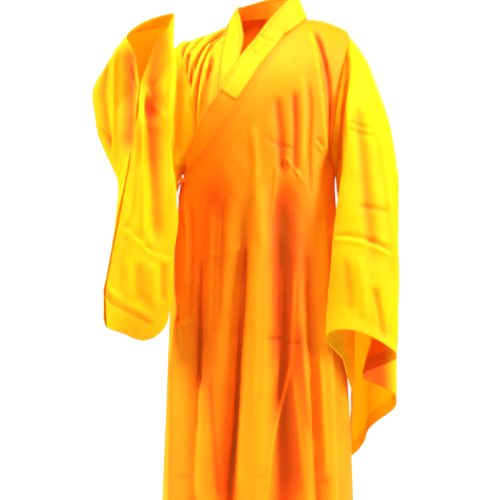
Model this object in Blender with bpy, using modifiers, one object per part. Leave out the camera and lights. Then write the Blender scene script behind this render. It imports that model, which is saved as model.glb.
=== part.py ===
"""A worn monk robe with a crossed front and wide sleeves: one arm raised, one hanging.

Metres, +Z up. The robe faces -Y, and the wearer's right side is at -X. The origin is at the
base of the neck, on the line of the shoulders, where the wearer holds the robe up.
"""
import math
from collections import namedtuple

import bmesh
import bpy
import numpy as np

# Cloth and seams
WALL = 0.0015
BAND_WALL = 0.0018
SEAM_GAP = 0.0006
WRAP_LIFT = 0.010
GUARD_LIFT = 0.0028

# The wrapped-over front leaves the plain form at this angle from its side seam, and lies at its
# full lift this much further round
WRAP_START = 0.35
WRAP_GROW = 0.65

# Depth of the body that turns a seam's gap into an angle: at a front's edge, and at the armhole
EDGE_DEPTH = 0.12
ARMHOLE_DEPTH = 0.13

# The wrapped-under front stays this angle away from its side seam, and a vent grows to its full
# width over this height
LEAST_INNER_ANGLE = 0.16
VENT_GROW = 0.20

# Form of the body's sections: 2 is an ellipse, more is squarer
ROUNDNESS = 2.25

# Body sections from the neck seam to the hem. The widths are x on each side, the depths are
# measured from the middle, and the heights differ round the shoulders.
Section = namedtuple("Section", "left right front back z_left z_right z_front z_back")
BODY = (
    Section(-0.077, 0.131, 0.066, 0.078, 0.003, 0.020, -0.048, 0.032),
    Section(-0.122, 0.170, 0.088, 0.098, -0.018, 0.015, -0.080, 0.006),
    Section(-0.172, 0.212, 0.106, 0.112, -0.035, 0.002, -0.118, -0.038),
    Section(-0.212, 0.247, 0.119, 0.122, -0.054, -0.028, -0.158, -0.092),
    Section(-0.214, 0.249, 0.130, 0.126, -0.150, -0.140, -0.225, -0.180),
    Section(-0.203, 0.228, 0.138, 0.122, -0.275, -0.270, -0.318, -0.298),
    Section(-0.194, 0.207, 0.144, 0.118, -0.390, -0.390, -0.405, -0.400),
    Section(-0.211, 0.212, 0.150, 0.124, -0.520, -0.520, -0.523, -0.522),
    Section(-0.226, 0.224, 0.159, 0.138, -0.680, -0.680, -0.680, -0.680),
    Section(-0.234, 0.235, 0.167, 0.154, -0.850, -0.850, -0.850, -0.850),
    Section(-0.241, 0.245, 0.177, 0.170, -1.030, -1.030, -1.030, -1.030),
    Section(-0.249, 0.253, 0.186, 0.184, -1.210, -1.210, -1.210, -1.210),
    Section(-0.256, 0.259, 0.193, 0.194, -1.370, -1.370, -1.370, -1.370),
)
ARMHOLE_TOP = 3.0
ARMHOLE_FOOT = 6.0
HEM_ROW = 12.0
ARMHOLE_SPREAD = 0.62
ARMHOLE_TRIM = 0.0035

# A fold whose foot is above this height fades out over this length above its foot
SKIRT_TOP = -1.0
FOLD_FADE = 0.10

# How many faces each stretch has
SHOULDER_STEPS = 4
ARMHOLE_STEPS = 13
SKIRT_STEPS = 12
BACK_STEPS = 26
OUTER_STEPS = 42
INNER_STEPS = 16
SLEEVE_STEPS = 14
BAND_STEPS = 44
BAND_ACROSS = 3

# Folds that run down the body. Each follows x from its head to its foot, swells until it is
# full, and stands out (+) or sinks in (-) by its depth.
Fold = namedtuple("Fold", "side x_head z_head x_foot z_foot z_full depth width")
FRONT, BACK = 1, -1
BODY_FOLDS = (
    Fold(FRONT, -0.019, -0.36, -0.078, -1.37, -0.70, -0.023, 0.027),
    Fold(FRONT, 0.004, -0.34, -0.016, -1.37, -0.75, 0.016, 0.024),
    Fold(FRONT, 0.055, -0.20, 0.062, -1.37, -0.80, -0.022, 0.026),
    Fold(FRONT, 0.094, -0.50, 0.128, -1.37, -0.95, 0.015, 0.020),
    Fold(FRONT, 0.120, -0.36, 0.155, -1.37, -0.80, -0.012, 0.019),
    Fold(FRONT, 0.160, -0.30, 0.190, -1.37, -0.80, 0.014, 0.020),
    Fold(FRONT, -0.150, -0.50, -0.160, -1.37, -0.95, -0.014, 0.020),
    Fold(FRONT, -0.098, -0.55, -0.112, -1.37, -0.95, 0.012, 0.024),
    Fold(FRONT, -0.112, -0.04, -0.152, -0.32, -0.12, -0.010, 0.014),
    Fold(FRONT, -0.172, -0.06, -0.190, -0.38, -0.14, -0.009, 0.012),
    Fold(FRONT, 0.150, -0.02, 0.196, -0.42, -0.12, -0.012, 0.015),
    Fold(BACK, 0.170, -0.45, 0.190, -1.37, -0.90, -0.018, 0.022),
    Fold(BACK, 0.118, -0.50, 0.130, -1.37, -0.95, 0.014, 0.024),
    Fold(BACK, 0.068, -0.30, 0.074, -1.37, -0.80, -0.022, 0.026),
    Fold(BACK, 0.010, -0.45, 0.012, -1.37, -0.90, 0.016, 0.026),
    Fold(BACK, -0.048, -0.32, -0.060, -1.37, -0.80, -0.022, 0.025),
    Fold(BACK, -0.100, -0.55, -0.118, -1.37, -0.95, 0.013, 0.024),
    Fold(BACK, -0.155, -0.42, -0.178, -1.37, -0.90, -0.018, 0.022),
    Fold(BACK, 0.130, -0.06, 0.160, -0.40, -0.16, -0.010, 0.018),
    Fold(BACK, -0.100, -0.06, -0.150, -0.40, -0.16, -0.010, 0.018),
)

# Edges on the body, as x at each height from the top down
Edge = namedtuple("Edge", "z x")
OUTER_EDGE = (
    Edge(0.020, 0.131), Edge(-0.020, 0.086), Edge(-0.091, 0.031), Edge(-0.134, -0.001),
    Edge(-0.160, -0.017), Edge(-0.220, -0.056), Edge(-0.276, -0.093), Edge(-0.334, -0.133),
    Edge(-0.400, -0.181), Edge(-0.460, -0.196), Edge(-0.720, -0.203), Edge(-0.800, -0.209),
    Edge(-0.900, -0.221), Edge(-0.980, -0.219), Edge(-1.370, -0.226),
)
INNER_EDGE = (
    Edge(0.003, -0.070), Edge(-0.075, -0.090), Edge(-0.145, -0.098), Edge(-0.183, -0.100),
    Edge(-0.250, -0.090), Edge(-0.340, -0.050), Edge(-0.500, 0.000), Edge(-1.370, 0.050),
)
VENT_TOP = -1.10
VENT_OPEN = 0.17

# The collar band, from the hidden end of the wearer's right front, round the neck, to the tie.
# Its seam edge follows a front's edge, where at is a height, or the neck seam, where at is the
# angle round the neck. Its free edge passes the given points, and lies on the chest if y is None.
Collar = namedtuple("Collar", "stretch at x y z")
UNDER, NECK, OVER = "under", "neck", "over"
COLLAR = (
    Collar(UNDER, -0.310, -0.012, None, -0.292),
    Collar(UNDER, -0.250, -0.036, None, -0.235),
    Collar(UNDER, -0.183, -0.044, None, -0.168),
    Collar(UNDER, -0.120, -0.042, None, -0.105),
    Collar(UNDER, -0.060, -0.035, -0.086, -0.045),
    Collar(UNDER, -0.028, -0.038, -0.072, -0.015),
    Collar(NECK, -3.440, -0.043, -0.048, 0.014),
    Collar(NECK, -3.000, -0.050, -0.018, 0.047),
    Collar(NECK, -2.300, -0.032, 0.044, 0.062),
    Collar(NECK, -1.570, 0.028, 0.068, 0.084),
    Collar(NECK, -0.800, 0.084, 0.050, 0.092),
    Collar(NECK, 0.000, 0.104, 0.000, 0.088),
    Collar(NECK, 0.600, 0.080, -0.048, 0.064),
    Collar(NECK, 1.180, 0.031, -0.084, 0.008),
    Collar(OVER, -0.090, -0.006, -0.100, -0.044),
    Collar(OVER, -0.134, -0.040, None, -0.090),
    Collar(OVER, -0.220, -0.101, None, -0.188),
    Collar(OVER, -0.276, -0.134, None, -0.246),
    Collar(OVER, -0.334, -0.160, None, -0.302),
    Collar(OVER, -0.385, -0.179, None, -0.350),
)
UNDER_LIFT = 0.0016
GUARD_START = 2.0
GUARD_END = 15.9
BAND_INSET = 0.045
GUARD_INSET = 0.090

# Sleeve rings. A ring hangs from its top to its foot, bowed out at its middle. The outer and
# inner layers stand off that line, along across, by the widths given at the places in LEVELS.
Ring = namedtuple("Ring", "top foot across bow outer inner crown")
LEVELS = (0.0, 0.22, 0.50, 0.86, 1.0)
RAISED_SLEEVE = (
    Ring((-0.224, 0.000, -0.054), (-0.238, -0.002, -0.410), (-0.1, 1.0, 0.0), (0.0, 0.0, 0.0),
         (0.060, 0.075, 0.080, 0.040, 0.020), (0.060, 0.080, 0.085, 0.035, 0.015), 0.12),
    Ring((-0.272, -0.030, -0.074), (-0.238, -0.040, -0.570), (-0.50, 0.86, 0.0), (0.0, 0.0, 0.0),
         (0.055, 0.062, 0.050, 0.030, 0.015), (0.060, 0.078, 0.060, 0.024, 0.012), 0.11),
    Ring((-0.338, -0.088, -0.118), (-0.236, -0.095, -0.730), (-0.82, 0.57, 0.0), (0.0, 0.0, 0.0),
         (0.050, 0.040, 0.022, 0.018, 0.012), (0.075, 0.100, 0.070, 0.032, 0.014), 0.10),
    Ring((-0.384, -0.152, -0.152), (-0.278, -0.136, -0.819), (-0.98, 0.20, 0.0), (0.0, 0.0, 0.0),
         (0.046, 0.046, -0.004, 0.014, 0.012), (0.125, 0.142, 0.122, 0.074, 0.034), 0.09),
    Ring((-0.342, -0.240, -0.108), (-0.346, -0.200, -0.800), (-0.99, -0.10, -0.10), (0.0, -0.02, 0.0),
         (0.046, 0.030, 0.004, 0.018, 0.010), (0.138, 0.120, 0.080, 0.058, 0.022), 0.07),
    Ring((-0.262, -0.318, -0.018), (-0.372, -0.262, -0.782), (-0.88, 0.0, -0.46), (0.0, -0.03, 0.0),
         (0.066, 0.004, 0.004, 0.026, 0.010), (0.086, 0.004, 0.004, -0.019, -0.004), 0.04),
)
HANGING_SLEEVE = (
    Ring((0.252, 0.000, -0.028), (0.209, 0.000, -0.388), (0.0, 1.0, 0.0), (0.0, 0.0, 0.0),
         (0.060, 0.075, 0.080, 0.055, 0.030), (0.060, 0.080, 0.085, 0.060, 0.030), 0.12),
    Ring((0.286, -0.040, -0.100), (0.227, 0.020, -0.490), (0.45, 0.89, 0.0), (0.0, 0.0, 0.0),
         (0.060, 0.085, 0.085, 0.050, 0.025), (0.060, 0.080, 0.062, 0.026, 0.012), 0.12),
    Ring((0.286, -0.112, -0.270), (0.240, 0.050, -0.670), (0.92, 0.38, 0.0), (0.0, 0.0, 0.0),
         (0.056, 0.102, 0.112, 0.050, 0.025), (0.060, 0.058, 0.026, 0.010, 0.004), 0.12),
    Ring((0.246, -0.162, -0.520), (0.254, 0.080, -0.910), (1.0, 0.10, 0.0), (0.0, 0.0, 0.0),
         (0.062, 0.118, 0.124, 0.056, 0.025), (0.072, 0.030, -0.004, -0.006, 0.002), 0.12),
    Ring((0.222, -0.184, -0.792), (0.254, 0.100, -1.150), (1.0, 0.0, 0.0), (0.0, 0.0, 0.0),
         (0.062, 0.130, 0.126, 0.048, 0.010), (0.078, 0.010, -0.012, -0.006, 0.002), 0.12),
)

# Share of a ring's height over which its foot is rounded off
FOOT_ROUND = 0.06

# How far each mouth is drawn back at its top, as a share of the sleeve, and how far down the
# ring that reaches
RAISED_PULL = 0.040
HANGING_PULL = 0.0
PULL_REACH = 0.045

# Folds in a sleeve: where on the layer, how deep and wide, and where along the sleeve they start,
# are full and end. A fold that ends past 1 runs out through the mouth.
SleeveFold = namedtuple("SleeveFold", "layer place depth width start full end")
OUTER, INNER = 1, -1
RAISED_FOLDS = (
    SleeveFold(INNER, 0.55, 0.012, 0.10, 0.30, 0.65, 0.94),
    SleeveFold(OUTER, 0.40, -0.008, 0.08, 0.45, 0.75, 0.95),
)
HANGING_FOLDS = (
    SleeveFold(OUTER, 0.36, -0.082, 0.085, 0.66, 1.00, 9.0),
    SleeveFold(OUTER, 0.17, 0.012, 0.060, 0.50, 0.95, 9.0),
    SleeveFold(OUTER, 0.60, 0.018, 0.080, 0.66, 1.00, 9.0),
    SleeveFold(OUTER, 0.30, -0.010, 0.070, 0.12, 0.40, 9.0),
    SleeveFold(OUTER, 0.78, -0.014, 0.080, 0.30, 0.70, 9.0),
)

# The tie under the wearer's right arm: a knot beside the wrapped edge, and a tape each way
KNOT_Z = -0.412
KNOT_TURN = -0.110
KNOT_LIFT = 0.0162
KNOT_SIZE = (0.0055, 0.0090, 0.0100)
TAPE_WIDTH = 0.009
TAPE_WALL = 0.0012
TAPE_STEPS = 8
Tape = namedtuple("Tape", "name turn_start turn_end z_start z_end lift_start lift_end")
TAPES = (
    Tape("tie_tape_front", -0.330, -0.182, -0.406, -0.412, 0.0118, 0.0160),
    Tape("tie_tape_back", -0.042, 0.760, -0.414, -0.485, 0.0160, 0.0022),
)

# Colours as linear RGB
SAFFRON = (0.95, 0.42, 0.006, 1.0)
SAFFRON_LINING = (0.90, 0.33, 0.005, 1.0)
SAFFRON_BAND = (0.95, 0.45, 0.008, 1.0)
CLOTH_ROUGHNESS = 0.62


def ease(value):
    """Smooth step from 0 to 1."""
    value = np.clip(value, 0.0, 1.0)
    return value * value * (3.0 - 2.0 * value)


def spline(rows, place):
    """Values of a smooth curve through equally spaced rows, at each place counted in rows."""
    rows = np.asarray(rows, float)
    place = np.asarray(place, float)
    last = len(rows) - 1
    index = np.clip(place.astype(int), 0, last - 1)
    part = (place - index)[..., None]
    before, start = rows[np.maximum(index - 1, 0)], rows[index]
    end, after = rows[index + 1], rows[np.minimum(index + 2, last)]
    return 0.5 * (
        2.0 * start + (end - before) * part
        + (2.0 * before - 5.0 * start + 4.0 * end - after) * part ** 2
        + (3.0 * start - before - 3.0 * end + after) * part ** 3
    )


def signed_power(value, power):
    """Power of a number's size, with its sign kept."""
    return np.sign(value) * np.abs(value) ** power


def plain_body(angle, row):
    """Body form with no folds, and the section's middle and half width."""
    values = np.moveaxis(spline(BODY, row), -1, 0)
    left, right, front, back, z_left, z_right, z_front, z_back = values
    across = signed_power(np.cos(angle), 2.0 / ROUNDNESS)
    forward = signed_power(np.sin(angle), 2.0 / ROUNDNESS)
    middle, half = (left + right) / 2.0, (right - left) / 2.0
    depth = np.where(forward > 0.0, front, back)
    z_side = z_left + (z_right - z_left) * (1.0 + across) / 2.0
    z_middle = np.where(forward > 0.0, z_front, z_back)
    height = z_side + (z_middle - z_side) * np.sin(angle) ** 2
    points = np.stack([middle + across * half, -forward * depth, height], axis=-1)
    return points, middle, half


def fold_height(angle, points, middle, half):
    """How far the folds stand out of the plain form."""
    total = np.zeros_like(angle)
    for fold in BODY_FOLDS:
        along = (points[..., 2] - fold.z_head) / (fold.z_foot - fold.z_head)
        x = fold.x_head + (fold.x_foot - fold.x_head) * np.clip(along, 0.0, 1.0)
        reach = np.clip((x - middle) / half, -0.999, 0.999)
        centre = fold.side * np.arccos(signed_power(reach, ROUNDNESS / 2.0))
        away = np.angle(np.exp(1j * (angle - centre))) * half / fold.width
        grown = ease((points[..., 2] - fold.z_head) / (fold.z_full - fold.z_head))
        ended = 1.0
        if fold.z_foot > SKIRT_TOP:
            ended = ease((points[..., 2] - fold.z_foot) / FOLD_FADE)
        total = total + fold.depth * np.exp(-away ** 2) * grown * ended
    return total


def folded_body(angle, row):
    """Body form with its folds pushed straight out or in."""
    points, middle, half = plain_body(angle, row)
    swell = fold_height(angle, points, middle, half)
    outward = np.stack([np.cos(angle), -np.sin(angle), np.zeros_like(angle)], axis=-1)
    return points + outward * swell[..., None]


def body_point(angle, row, lift=0.0):
    """Points on the body, raised along the surface's outward normal."""
    angle, row = np.broadcast_arrays(np.asarray(angle, float), np.asarray(row, float))
    step = 0.004
    round_way = folded_body(angle + step, row) - folded_body(angle - step, row)
    lower, upper = np.minimum(row + step, HEM_ROW), np.maximum(row - step, 0.0)
    down_way = folded_body(angle, lower) - folded_body(angle, upper)
    normal = np.cross(round_way, down_way)
    normal /= np.linalg.norm(normal, axis=-1, keepdims=True)
    return folded_body(angle, row) + normal * np.asarray(lift)[..., None]


def edge_x(edge, z):
    """x of a smooth edge at a height."""
    places = np.linspace(0.0, len(edge) - 1, 8 * len(edge))
    fine = spline([(point.z, point.x) for point in edge], places)
    return float(np.interp(-z, -fine[:, 0], fine[:, 1]))


def edge_angle(row, edge):
    """Angle at which a row of the body meets an edge that is given as x by height."""
    low, high = 0.0, math.pi
    for _ in range(30):
        middle = (low + high) / 2.0
        point = plain_body(np.array(middle), np.array(row))[0]
        if point[0] > edge_x(edge, point[2]):
            low = middle
        else:
            high = middle
    return (low + high) / 2.0


def find_on_front(x, z):
    """Angle and row of the point of the plain front that is seen at x and z."""
    low, high = 0.0, HEM_ROW
    for _ in range(40):
        row = (low + high) / 2.0
        angle = x_angle(x, row)
        if plain_body(np.array(angle), np.array(row))[0][2] > z:
            low = row
        else:
            high = row
    return x_angle(x, row), row


def x_angle(x, row):
    """Angle on the front of a row at which the plain form has the given x."""
    section = Section(*spline(BODY, np.array(row)))
    middle, half = (section.left + section.right) / 2.0, (section.right - section.left) / 2.0
    reach = min(max((x - middle) / half, -0.999), 0.999)
    return math.acos(math.copysign(abs(reach) ** (ROUNDNESS / 2.0), reach))


def body_rows():
    """Rows from the neck to the hem, bunched at both ends of the armhole."""
    shoulder = np.linspace(0.0, ARMHOLE_TOP, SHOULDER_STEPS + 1)
    turn = np.linspace(0.0, math.pi, ARMHOLE_STEPS + 1)
    armhole = ARMHOLE_TOP + (ARMHOLE_FOOT - ARMHOLE_TOP) * (1.0 - np.cos(turn)) / 2.0
    skirt = np.linspace(ARMHOLE_FOOT, HEM_ROW, SKIRT_STEPS + 1)
    return np.concatenate([shoulder[:-1], armhole, skirt[1:]])


def armhole_spread(row):
    """Half of the angle that the armhole takes out of a row, with the seam's gap."""
    part = (row - ARMHOLE_TOP) / (ARMHOLE_FOOT - ARMHOLE_TOP)
    if not 0.0 < part < 1.0:
        return 0.0
    return ARMHOLE_SPREAD * math.sqrt(1.0 - (1.0 - 2.0 * part) ** 2)


def seam_turn(row):
    """Half of the seam's gap as an angle round the body."""
    section = Section(*spline(BODY, np.array(row)))
    depth = (section.front + section.back) / 2.0
    return SEAM_GAP / 2.0 / depth


def vent_turn(row):
    """Angle by which a front's side edge draws back below the top of the side vent."""
    z = Section(*spline(BODY, np.array(row))).z_left
    return VENT_OPEN * float(ease((VENT_TOP - z) / VENT_GROW))


def grid_mesh(name, points):
    """Open surface through a grid of points, closed round if its first axis is a ring."""
    count_u, count_v = points.shape[:2]
    mesh = bpy.data.meshes.new(name)
    shape = bmesh.new()
    bmesh.ops.create_grid(shape, x_segments=count_u - 1, y_segments=count_v - 1, size=1.0)
    shape.verts.ensure_lookup_table()
    order = sorted(shape.verts, key=lambda vert: (round(vert.co.y, 5), round(vert.co.x, 5)))
    for number, vert in enumerate(order):
        vert.co = points[number % count_u, number // count_u]
    shape.to_mesh(mesh)
    shape.free()
    return mesh


def cloth(name, points, material, collection, wall, close_ring=False):
    """One piece of cloth: a grid surface given its wall, thickened towards the inside."""
    mesh = grid_mesh(name, points)
    piece = bpy.data.objects.new(name, mesh)
    collection.objects.link(piece)
    shape = bmesh.new()
    shape.from_mesh(mesh)
    if close_ring:
        bmesh.ops.remove_doubles(shape, verts=shape.verts, dist=0.00001)
    shape.normal_update()
    shape.to_mesh(mesh)
    shape.free()
    mesh.materials.append(material)
    solid = piece.modifiers.new("Wall", "SOLIDIFY")
    solid.thickness = wall
    solid.offset = -1.0
    mesh.shade_smooth()
    return piece


def panel_points(rows, first, last, columns, lift):
    """Points of a panel between two edges that are given as an angle for each row."""
    share = np.linspace(0.0, 1.0, columns + 1)[:, None]
    angles = first[None, :] + (last - first)[None, :] * share
    return body_point(angles, np.broadcast_to(rows, angles.shape), lift(angles, rows[None, :]))


def outer_lift(angle, row):
    """Lift of the wrapped-over front: none at its side seam, full where it overlaps."""
    return WRAP_LIFT * ease((angle - WRAP_START) / WRAP_GROW) * np.ones_like(row)


def no_lift(angle, row):
    """Lift of the panels that lie on the plain form."""
    return np.zeros_like(angle + row)


def build_panels(materials, collection):
    """Back, wrapped-over front and wrapped-under front."""
    rows = body_rows()
    seam = np.array([seam_turn(row) for row in rows])
    armhole = np.array([armhole_spread(row) for row in rows])
    vent = np.array([vent_turn(row) for row in rows])
    outer_edge = np.array([edge_angle(row, OUTER_EDGE) for row in rows])
    inner_edge = np.array([edge_angle(row, INNER_EDGE) for row in rows])
    inner_edge = np.minimum(inner_edge, math.pi - LEAST_INNER_ANGLE)
    seam_edge = SEAM_GAP / EDGE_DEPTH
    side = seam + armhole
    back = panel_points(rows, side - math.pi, -side, BACK_STEPS, no_lift)
    cloth("back_panel", back, materials["saffron"], collection, WALL)
    outer = panel_points(rows, side + vent, outer_edge - seam_edge, OUTER_STEPS, outer_lift)
    cloth("front_outer", outer, materials["saffron"], collection, WALL)
    inner = panel_points(rows, inner_edge + seam_edge, math.pi - side - vent, INNER_STEPS, no_lift)
    cloth("front_inner", inner, materials["inner"], collection, WALL)


def ring_half(levels, place, crown):
    """Half width of a ring's layer at each height, rounded off at its top and foot."""
    width = np.interp(place, LEVELS, levels)
    top = np.sqrt(1.0 - (1.0 - np.clip(place / crown, 0.0, 1.0)) ** 2)
    foot = np.sqrt(1.0 - (1.0 - np.clip((1.0 - place) / FOOT_ROUND, 0.0, 1.0)) ** 2)
    return width * top * foot


def sleeve_fold(folds, layer, place, along):
    """How far a layer's folds stand out at each height and station."""
    total = 0.0
    for fold in folds:
        if fold.layer == layer:
            grown = ease((along - fold.start) / (fold.full - fold.start))
            left = 1.0 - ease((along - fold.full) / (fold.end - fold.full))
            shape = math.exp(-((place - fold.place) / fold.width) ** 2)
            total += fold.depth * grown * left * shape
    return total


def sleeve_point(rings, folds, along, turn):
    """One point of a sleeve: turn 0 is a ring's top, and the outer layer comes first."""
    table = [ring.top + ring.foot + ring.across + ring.bow + ring.outer + ring.inner + (ring.crown,)
             for ring in rings]
    row = spline(table, np.array(along * (len(rings) - 1)))
    top, foot, across, bow = row[0:3], row[3:6], row[6:9], row[9:12]
    place = (1.0 - math.cos(turn)) / 2.0
    layer, widths = (OUTER, row[12:17]) if math.sin(turn) >= 0.0 else (INNER, row[17:22])
    shift = ring_half(widths, place, row[22]) + sleeve_fold(folds, layer, place, along)
    line = top + (foot - top) * place + bow * 4.0 * place * (1.0 - place)
    return line + layer * shift * across / np.linalg.norm(across)


def armhole_ring(turn, side):
    """The armhole's edge on the body, just inside the panels' edges."""
    place = (1.0 - np.cos(turn)) / 2.0
    inside = ARMHOLE_TRIM + (1.0 - 2.0 * ARMHOLE_TRIM) * place
    row = ARMHOLE_TOP + (ARMHOLE_FOOT - ARMHOLE_TOP) * inside
    spread = (ARMHOLE_SPREAD - SEAM_GAP / ARMHOLE_DEPTH) * np.sin(turn)
    angle = -spread if side > 0 else -math.pi + spread
    return body_point(angle, row, SEAM_GAP)


def drawn_back(along, turn, pull):
    """Place along a sleeve whose mouth is drawn back at its top."""
    place = (1.0 - math.cos(turn)) / 2.0
    return along * (1.0 - pull * math.exp(-(place / PULL_REACH) ** 2))


def build_sleeve(name, rings, folds, pull, side, material, collection):
    """Sleeve from its armhole to its mouth."""
    turn = np.linspace(0.0, 2.0 * math.pi, 2 * ARMHOLE_STEPS + 1)
    seam = armhole_ring(turn, side)
    stations = []
    for along in np.linspace(0.0, 1.0, SLEEVE_STEPS + 1):
        ring = np.array([sleeve_point(rings, folds, drawn_back(along, t, pull), t) for t in turn])
        joined = ease(along * (len(rings) - 1))
        stations.append(seam + (ring - seam) * joined)
    points = np.stack(stations, axis=1)
    points[-1] = points[0]
    if side > 0:
        points = points[::-1]
    cloth(name, points, material, collection, WALL, close_ring=True)


def seam_stretch(collar_stretch, ats):
    """Points of the band's seam edge on one stretch."""
    if collar_stretch == NECK:
        return body_point(ats, 0.0, SEAM_GAP + outer_lift(ats, 0.0)) + np.array((0.0, 0.0, SEAM_GAP))
    edge, lift = (INNER_EDGE, UNDER_LIFT) if collar_stretch == UNDER else (OUTER_EDGE, WRAP_LIFT)
    return np.array([body_point(*find_on_front(edge_x(edge, z), z), lift) for z in ats])


def collar_edges(places):
    """Seam edge and free edge of the band, at places counted in rows of its table."""
    seam, row_of = [], []
    for stretch in (UNDER, NECK, OVER):
        numbers = [number for number, collar in enumerate(COLLAR) if collar.stretch == stretch]
        fine = np.linspace(numbers[0], numbers[-1], 12 * len(numbers))
        ats = np.interp(fine, numbers, [COLLAR[number].at for number in numbers])
        seam.append(seam_stretch(stretch, ats))
        row_of.append(fine)
    seam, row_of = np.concatenate(seam), np.concatenate(row_of)
    free = np.array([free_point(collar) for collar in COLLAR])
    seam_at = np.stack([np.interp(places, row_of, seam[:, axis]) for axis in range(3)], axis=1)
    return seam_at, spline(free, places)


def free_point(collar):
    """Point of the band's free edge, on the chest or standing off it."""
    if collar.y is None:
        lift = UNDER_LIFT if collar.stretch == UNDER else WRAP_LIFT
        return body_point(*find_on_front(collar.x, collar.z), lift)
    return np.array((collar.x, collar.y, collar.z))


def band_points(first, last, steps, lift, inset):
    """Points of the band between two of its rows, lifted off and drawn in at its edges."""
    seam, free = collar_edges(np.linspace(first, last, steps + 1))
    share = inset + (1.0 - 2.0 * inset) * np.linspace(0.0, 1.0, BAND_ACROSS + 1)
    points = seam[None] + (free - seam)[None] * share[:, None, None]
    along = np.gradient(points, axis=1)
    across = np.broadcast_to((free - seam)[None], points.shape)
    normal = np.cross(across, along)
    normal /= np.linalg.norm(normal, axis=-1, keepdims=True)
    return points + normal * lift


def build_collar(materials, collection):
    """Collar band and the guard that lies on it."""
    last = len(COLLAR) - 1
    cloth("collar_band", band_points(0.0, last, BAND_STEPS, 0.0, BAND_INSET),
          materials["band"], collection, BAND_WALL)
    steps = round(BAND_STEPS * (GUARD_END - GUARD_START) / last)
    cloth("collar_guard", band_points(GUARD_START, GUARD_END, steps, GUARD_LIFT, GUARD_INSET),
          materials["band"], collection, WALL)


def row_at(angle, z):
    """Row of the body that passes a height at an angle."""
    low, high = ARMHOLE_TOP, HEM_ROW
    for _ in range(30):
        row = (low + high) / 2.0
        if plain_body(np.array(angle), np.array(row))[0][2] > z:
            low = row
        else:
            high = row
    return row


def build_tie(materials, collection):
    """Knot of the side tie and the tapes that run from it over the front and to the back."""
    edge = edge_angle(row_at(math.pi, KNOT_Z), OUTER_EDGE)
    centre = body_point(edge + KNOT_TURN, row_at(edge + KNOT_TURN, KNOT_Z), KNOT_LIFT)
    mesh = bpy.data.meshes.new("tie_knot")
    shape = bmesh.new()
    bmesh.ops.create_icosphere(shape, subdivisions=2, radius=1.0)
    bmesh.ops.scale(shape, vec=KNOT_SIZE, verts=shape.verts)
    bmesh.ops.translate(shape, vec=centre, verts=shape.verts)
    shape.to_mesh(mesh)
    shape.free()
    mesh.materials.append(materials["band"])
    mesh.shade_smooth()
    collection.objects.link(bpy.data.objects.new("tie_knot", mesh))
    for tape in TAPES:
        share = np.linspace(0.0, 1.0, TAPE_STEPS + 1)
        angles = edge + tape.turn_start + (tape.turn_end - tape.turn_start) * share
        heights = tape.z_start + (tape.z_end - tape.z_start) * share
        lifts = tape.lift_start + (tape.lift_end - tape.lift_start) * share
        rows = np.array([row_at(angle, height) for angle, height in zip(angles, heights)])
        middle = body_point(angles, rows, lifts)
        edges = np.array(((0.0, 0.0, TAPE_WIDTH / 2.0), (0.0, 0.0, -TAPE_WIDTH / 2.0)))
        cloth(tape.name, middle[:, None, :] + edges, materials["band"], collection, TAPE_WALL)


def make_material(name, colour):
    """Plain cloth material."""
    material = bpy.data.materials.new(name)
    material.use_nodes = True
    shader = material.node_tree.nodes["Principled BSDF"]
    shader.inputs["Base Color"].default_value = colour
    shader.inputs["Roughness"].default_value = CLOTH_ROUGHNESS
    shader.inputs["Metallic"].default_value = 0.0
    return material


def build():
    """Build the robe in its own collection."""
    for item in list(bpy.data.objects):
        bpy.data.objects.remove(item)
    collection = bpy.data.collections.new("monk_robe")
    bpy.context.scene.collection.children.link(collection)
    materials = {
        "saffron": make_material("saffron cloth", SAFFRON),
        "inner": make_material("saffron inner cloth", SAFFRON_LINING),
        "band": make_material("saffron band", SAFFRON_BAND),
    }
    build_panels(materials, collection)
    saffron = materials["saffron"]
    build_sleeve("sleeve_right", RAISED_SLEEVE, RAISED_FOLDS, RAISED_PULL, -1, saffron, collection)
    build_sleeve("sleeve_left", HANGING_SLEEVE, HANGING_FOLDS, HANGING_PULL, 1, saffron, collection)
    build_collar(materials, collection)
    build_tie(materials, collection)


build()
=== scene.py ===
"""Looks of a worn monk robe of thin saffron cloth, one arm raised and one hanging.

Metres, +Z up. The robe faces -Y and the wearer's right side is at -X.
"""
import logging
import math
from collections.abc import Callable, Sequence
from dataclasses import dataclass, field
from enum import Enum

import bmesh
import bpy
import numpy as np
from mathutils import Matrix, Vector


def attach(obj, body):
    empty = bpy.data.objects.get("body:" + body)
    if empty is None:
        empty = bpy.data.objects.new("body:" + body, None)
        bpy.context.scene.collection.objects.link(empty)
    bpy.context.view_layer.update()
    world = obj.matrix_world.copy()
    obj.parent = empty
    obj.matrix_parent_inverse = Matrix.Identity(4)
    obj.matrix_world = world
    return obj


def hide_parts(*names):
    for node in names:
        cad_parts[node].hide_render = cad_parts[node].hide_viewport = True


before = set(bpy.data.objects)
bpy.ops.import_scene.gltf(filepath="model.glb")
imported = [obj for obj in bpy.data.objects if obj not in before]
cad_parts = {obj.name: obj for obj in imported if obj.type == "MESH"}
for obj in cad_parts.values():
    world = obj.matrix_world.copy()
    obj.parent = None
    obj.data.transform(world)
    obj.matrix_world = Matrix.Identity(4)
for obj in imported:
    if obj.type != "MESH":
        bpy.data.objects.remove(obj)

Array = np.ndarray
log = logging.getLogger("monk_robe")


class Side(Enum):
    """A side of the body that a fold is counted on."""

    FRONT = 1
    BACK = -1


class Layer(Enum):
    """A layer of a sleeve: the one that faces away from the body, or the one next to it."""

    OUTER = 1
    INNER = -1


class View(Enum):
    """The side that a crease is seen from, as the way that side faces."""

    FRONT = (0.0, -1.0, 0.0)
    BACK = (0.0, 1.0, 0.0)


class Stretch(Enum):
    """What the collar's seam edge follows."""

    UNDER = "under"
    NECK = "neck"
    OVER = "over"


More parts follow.
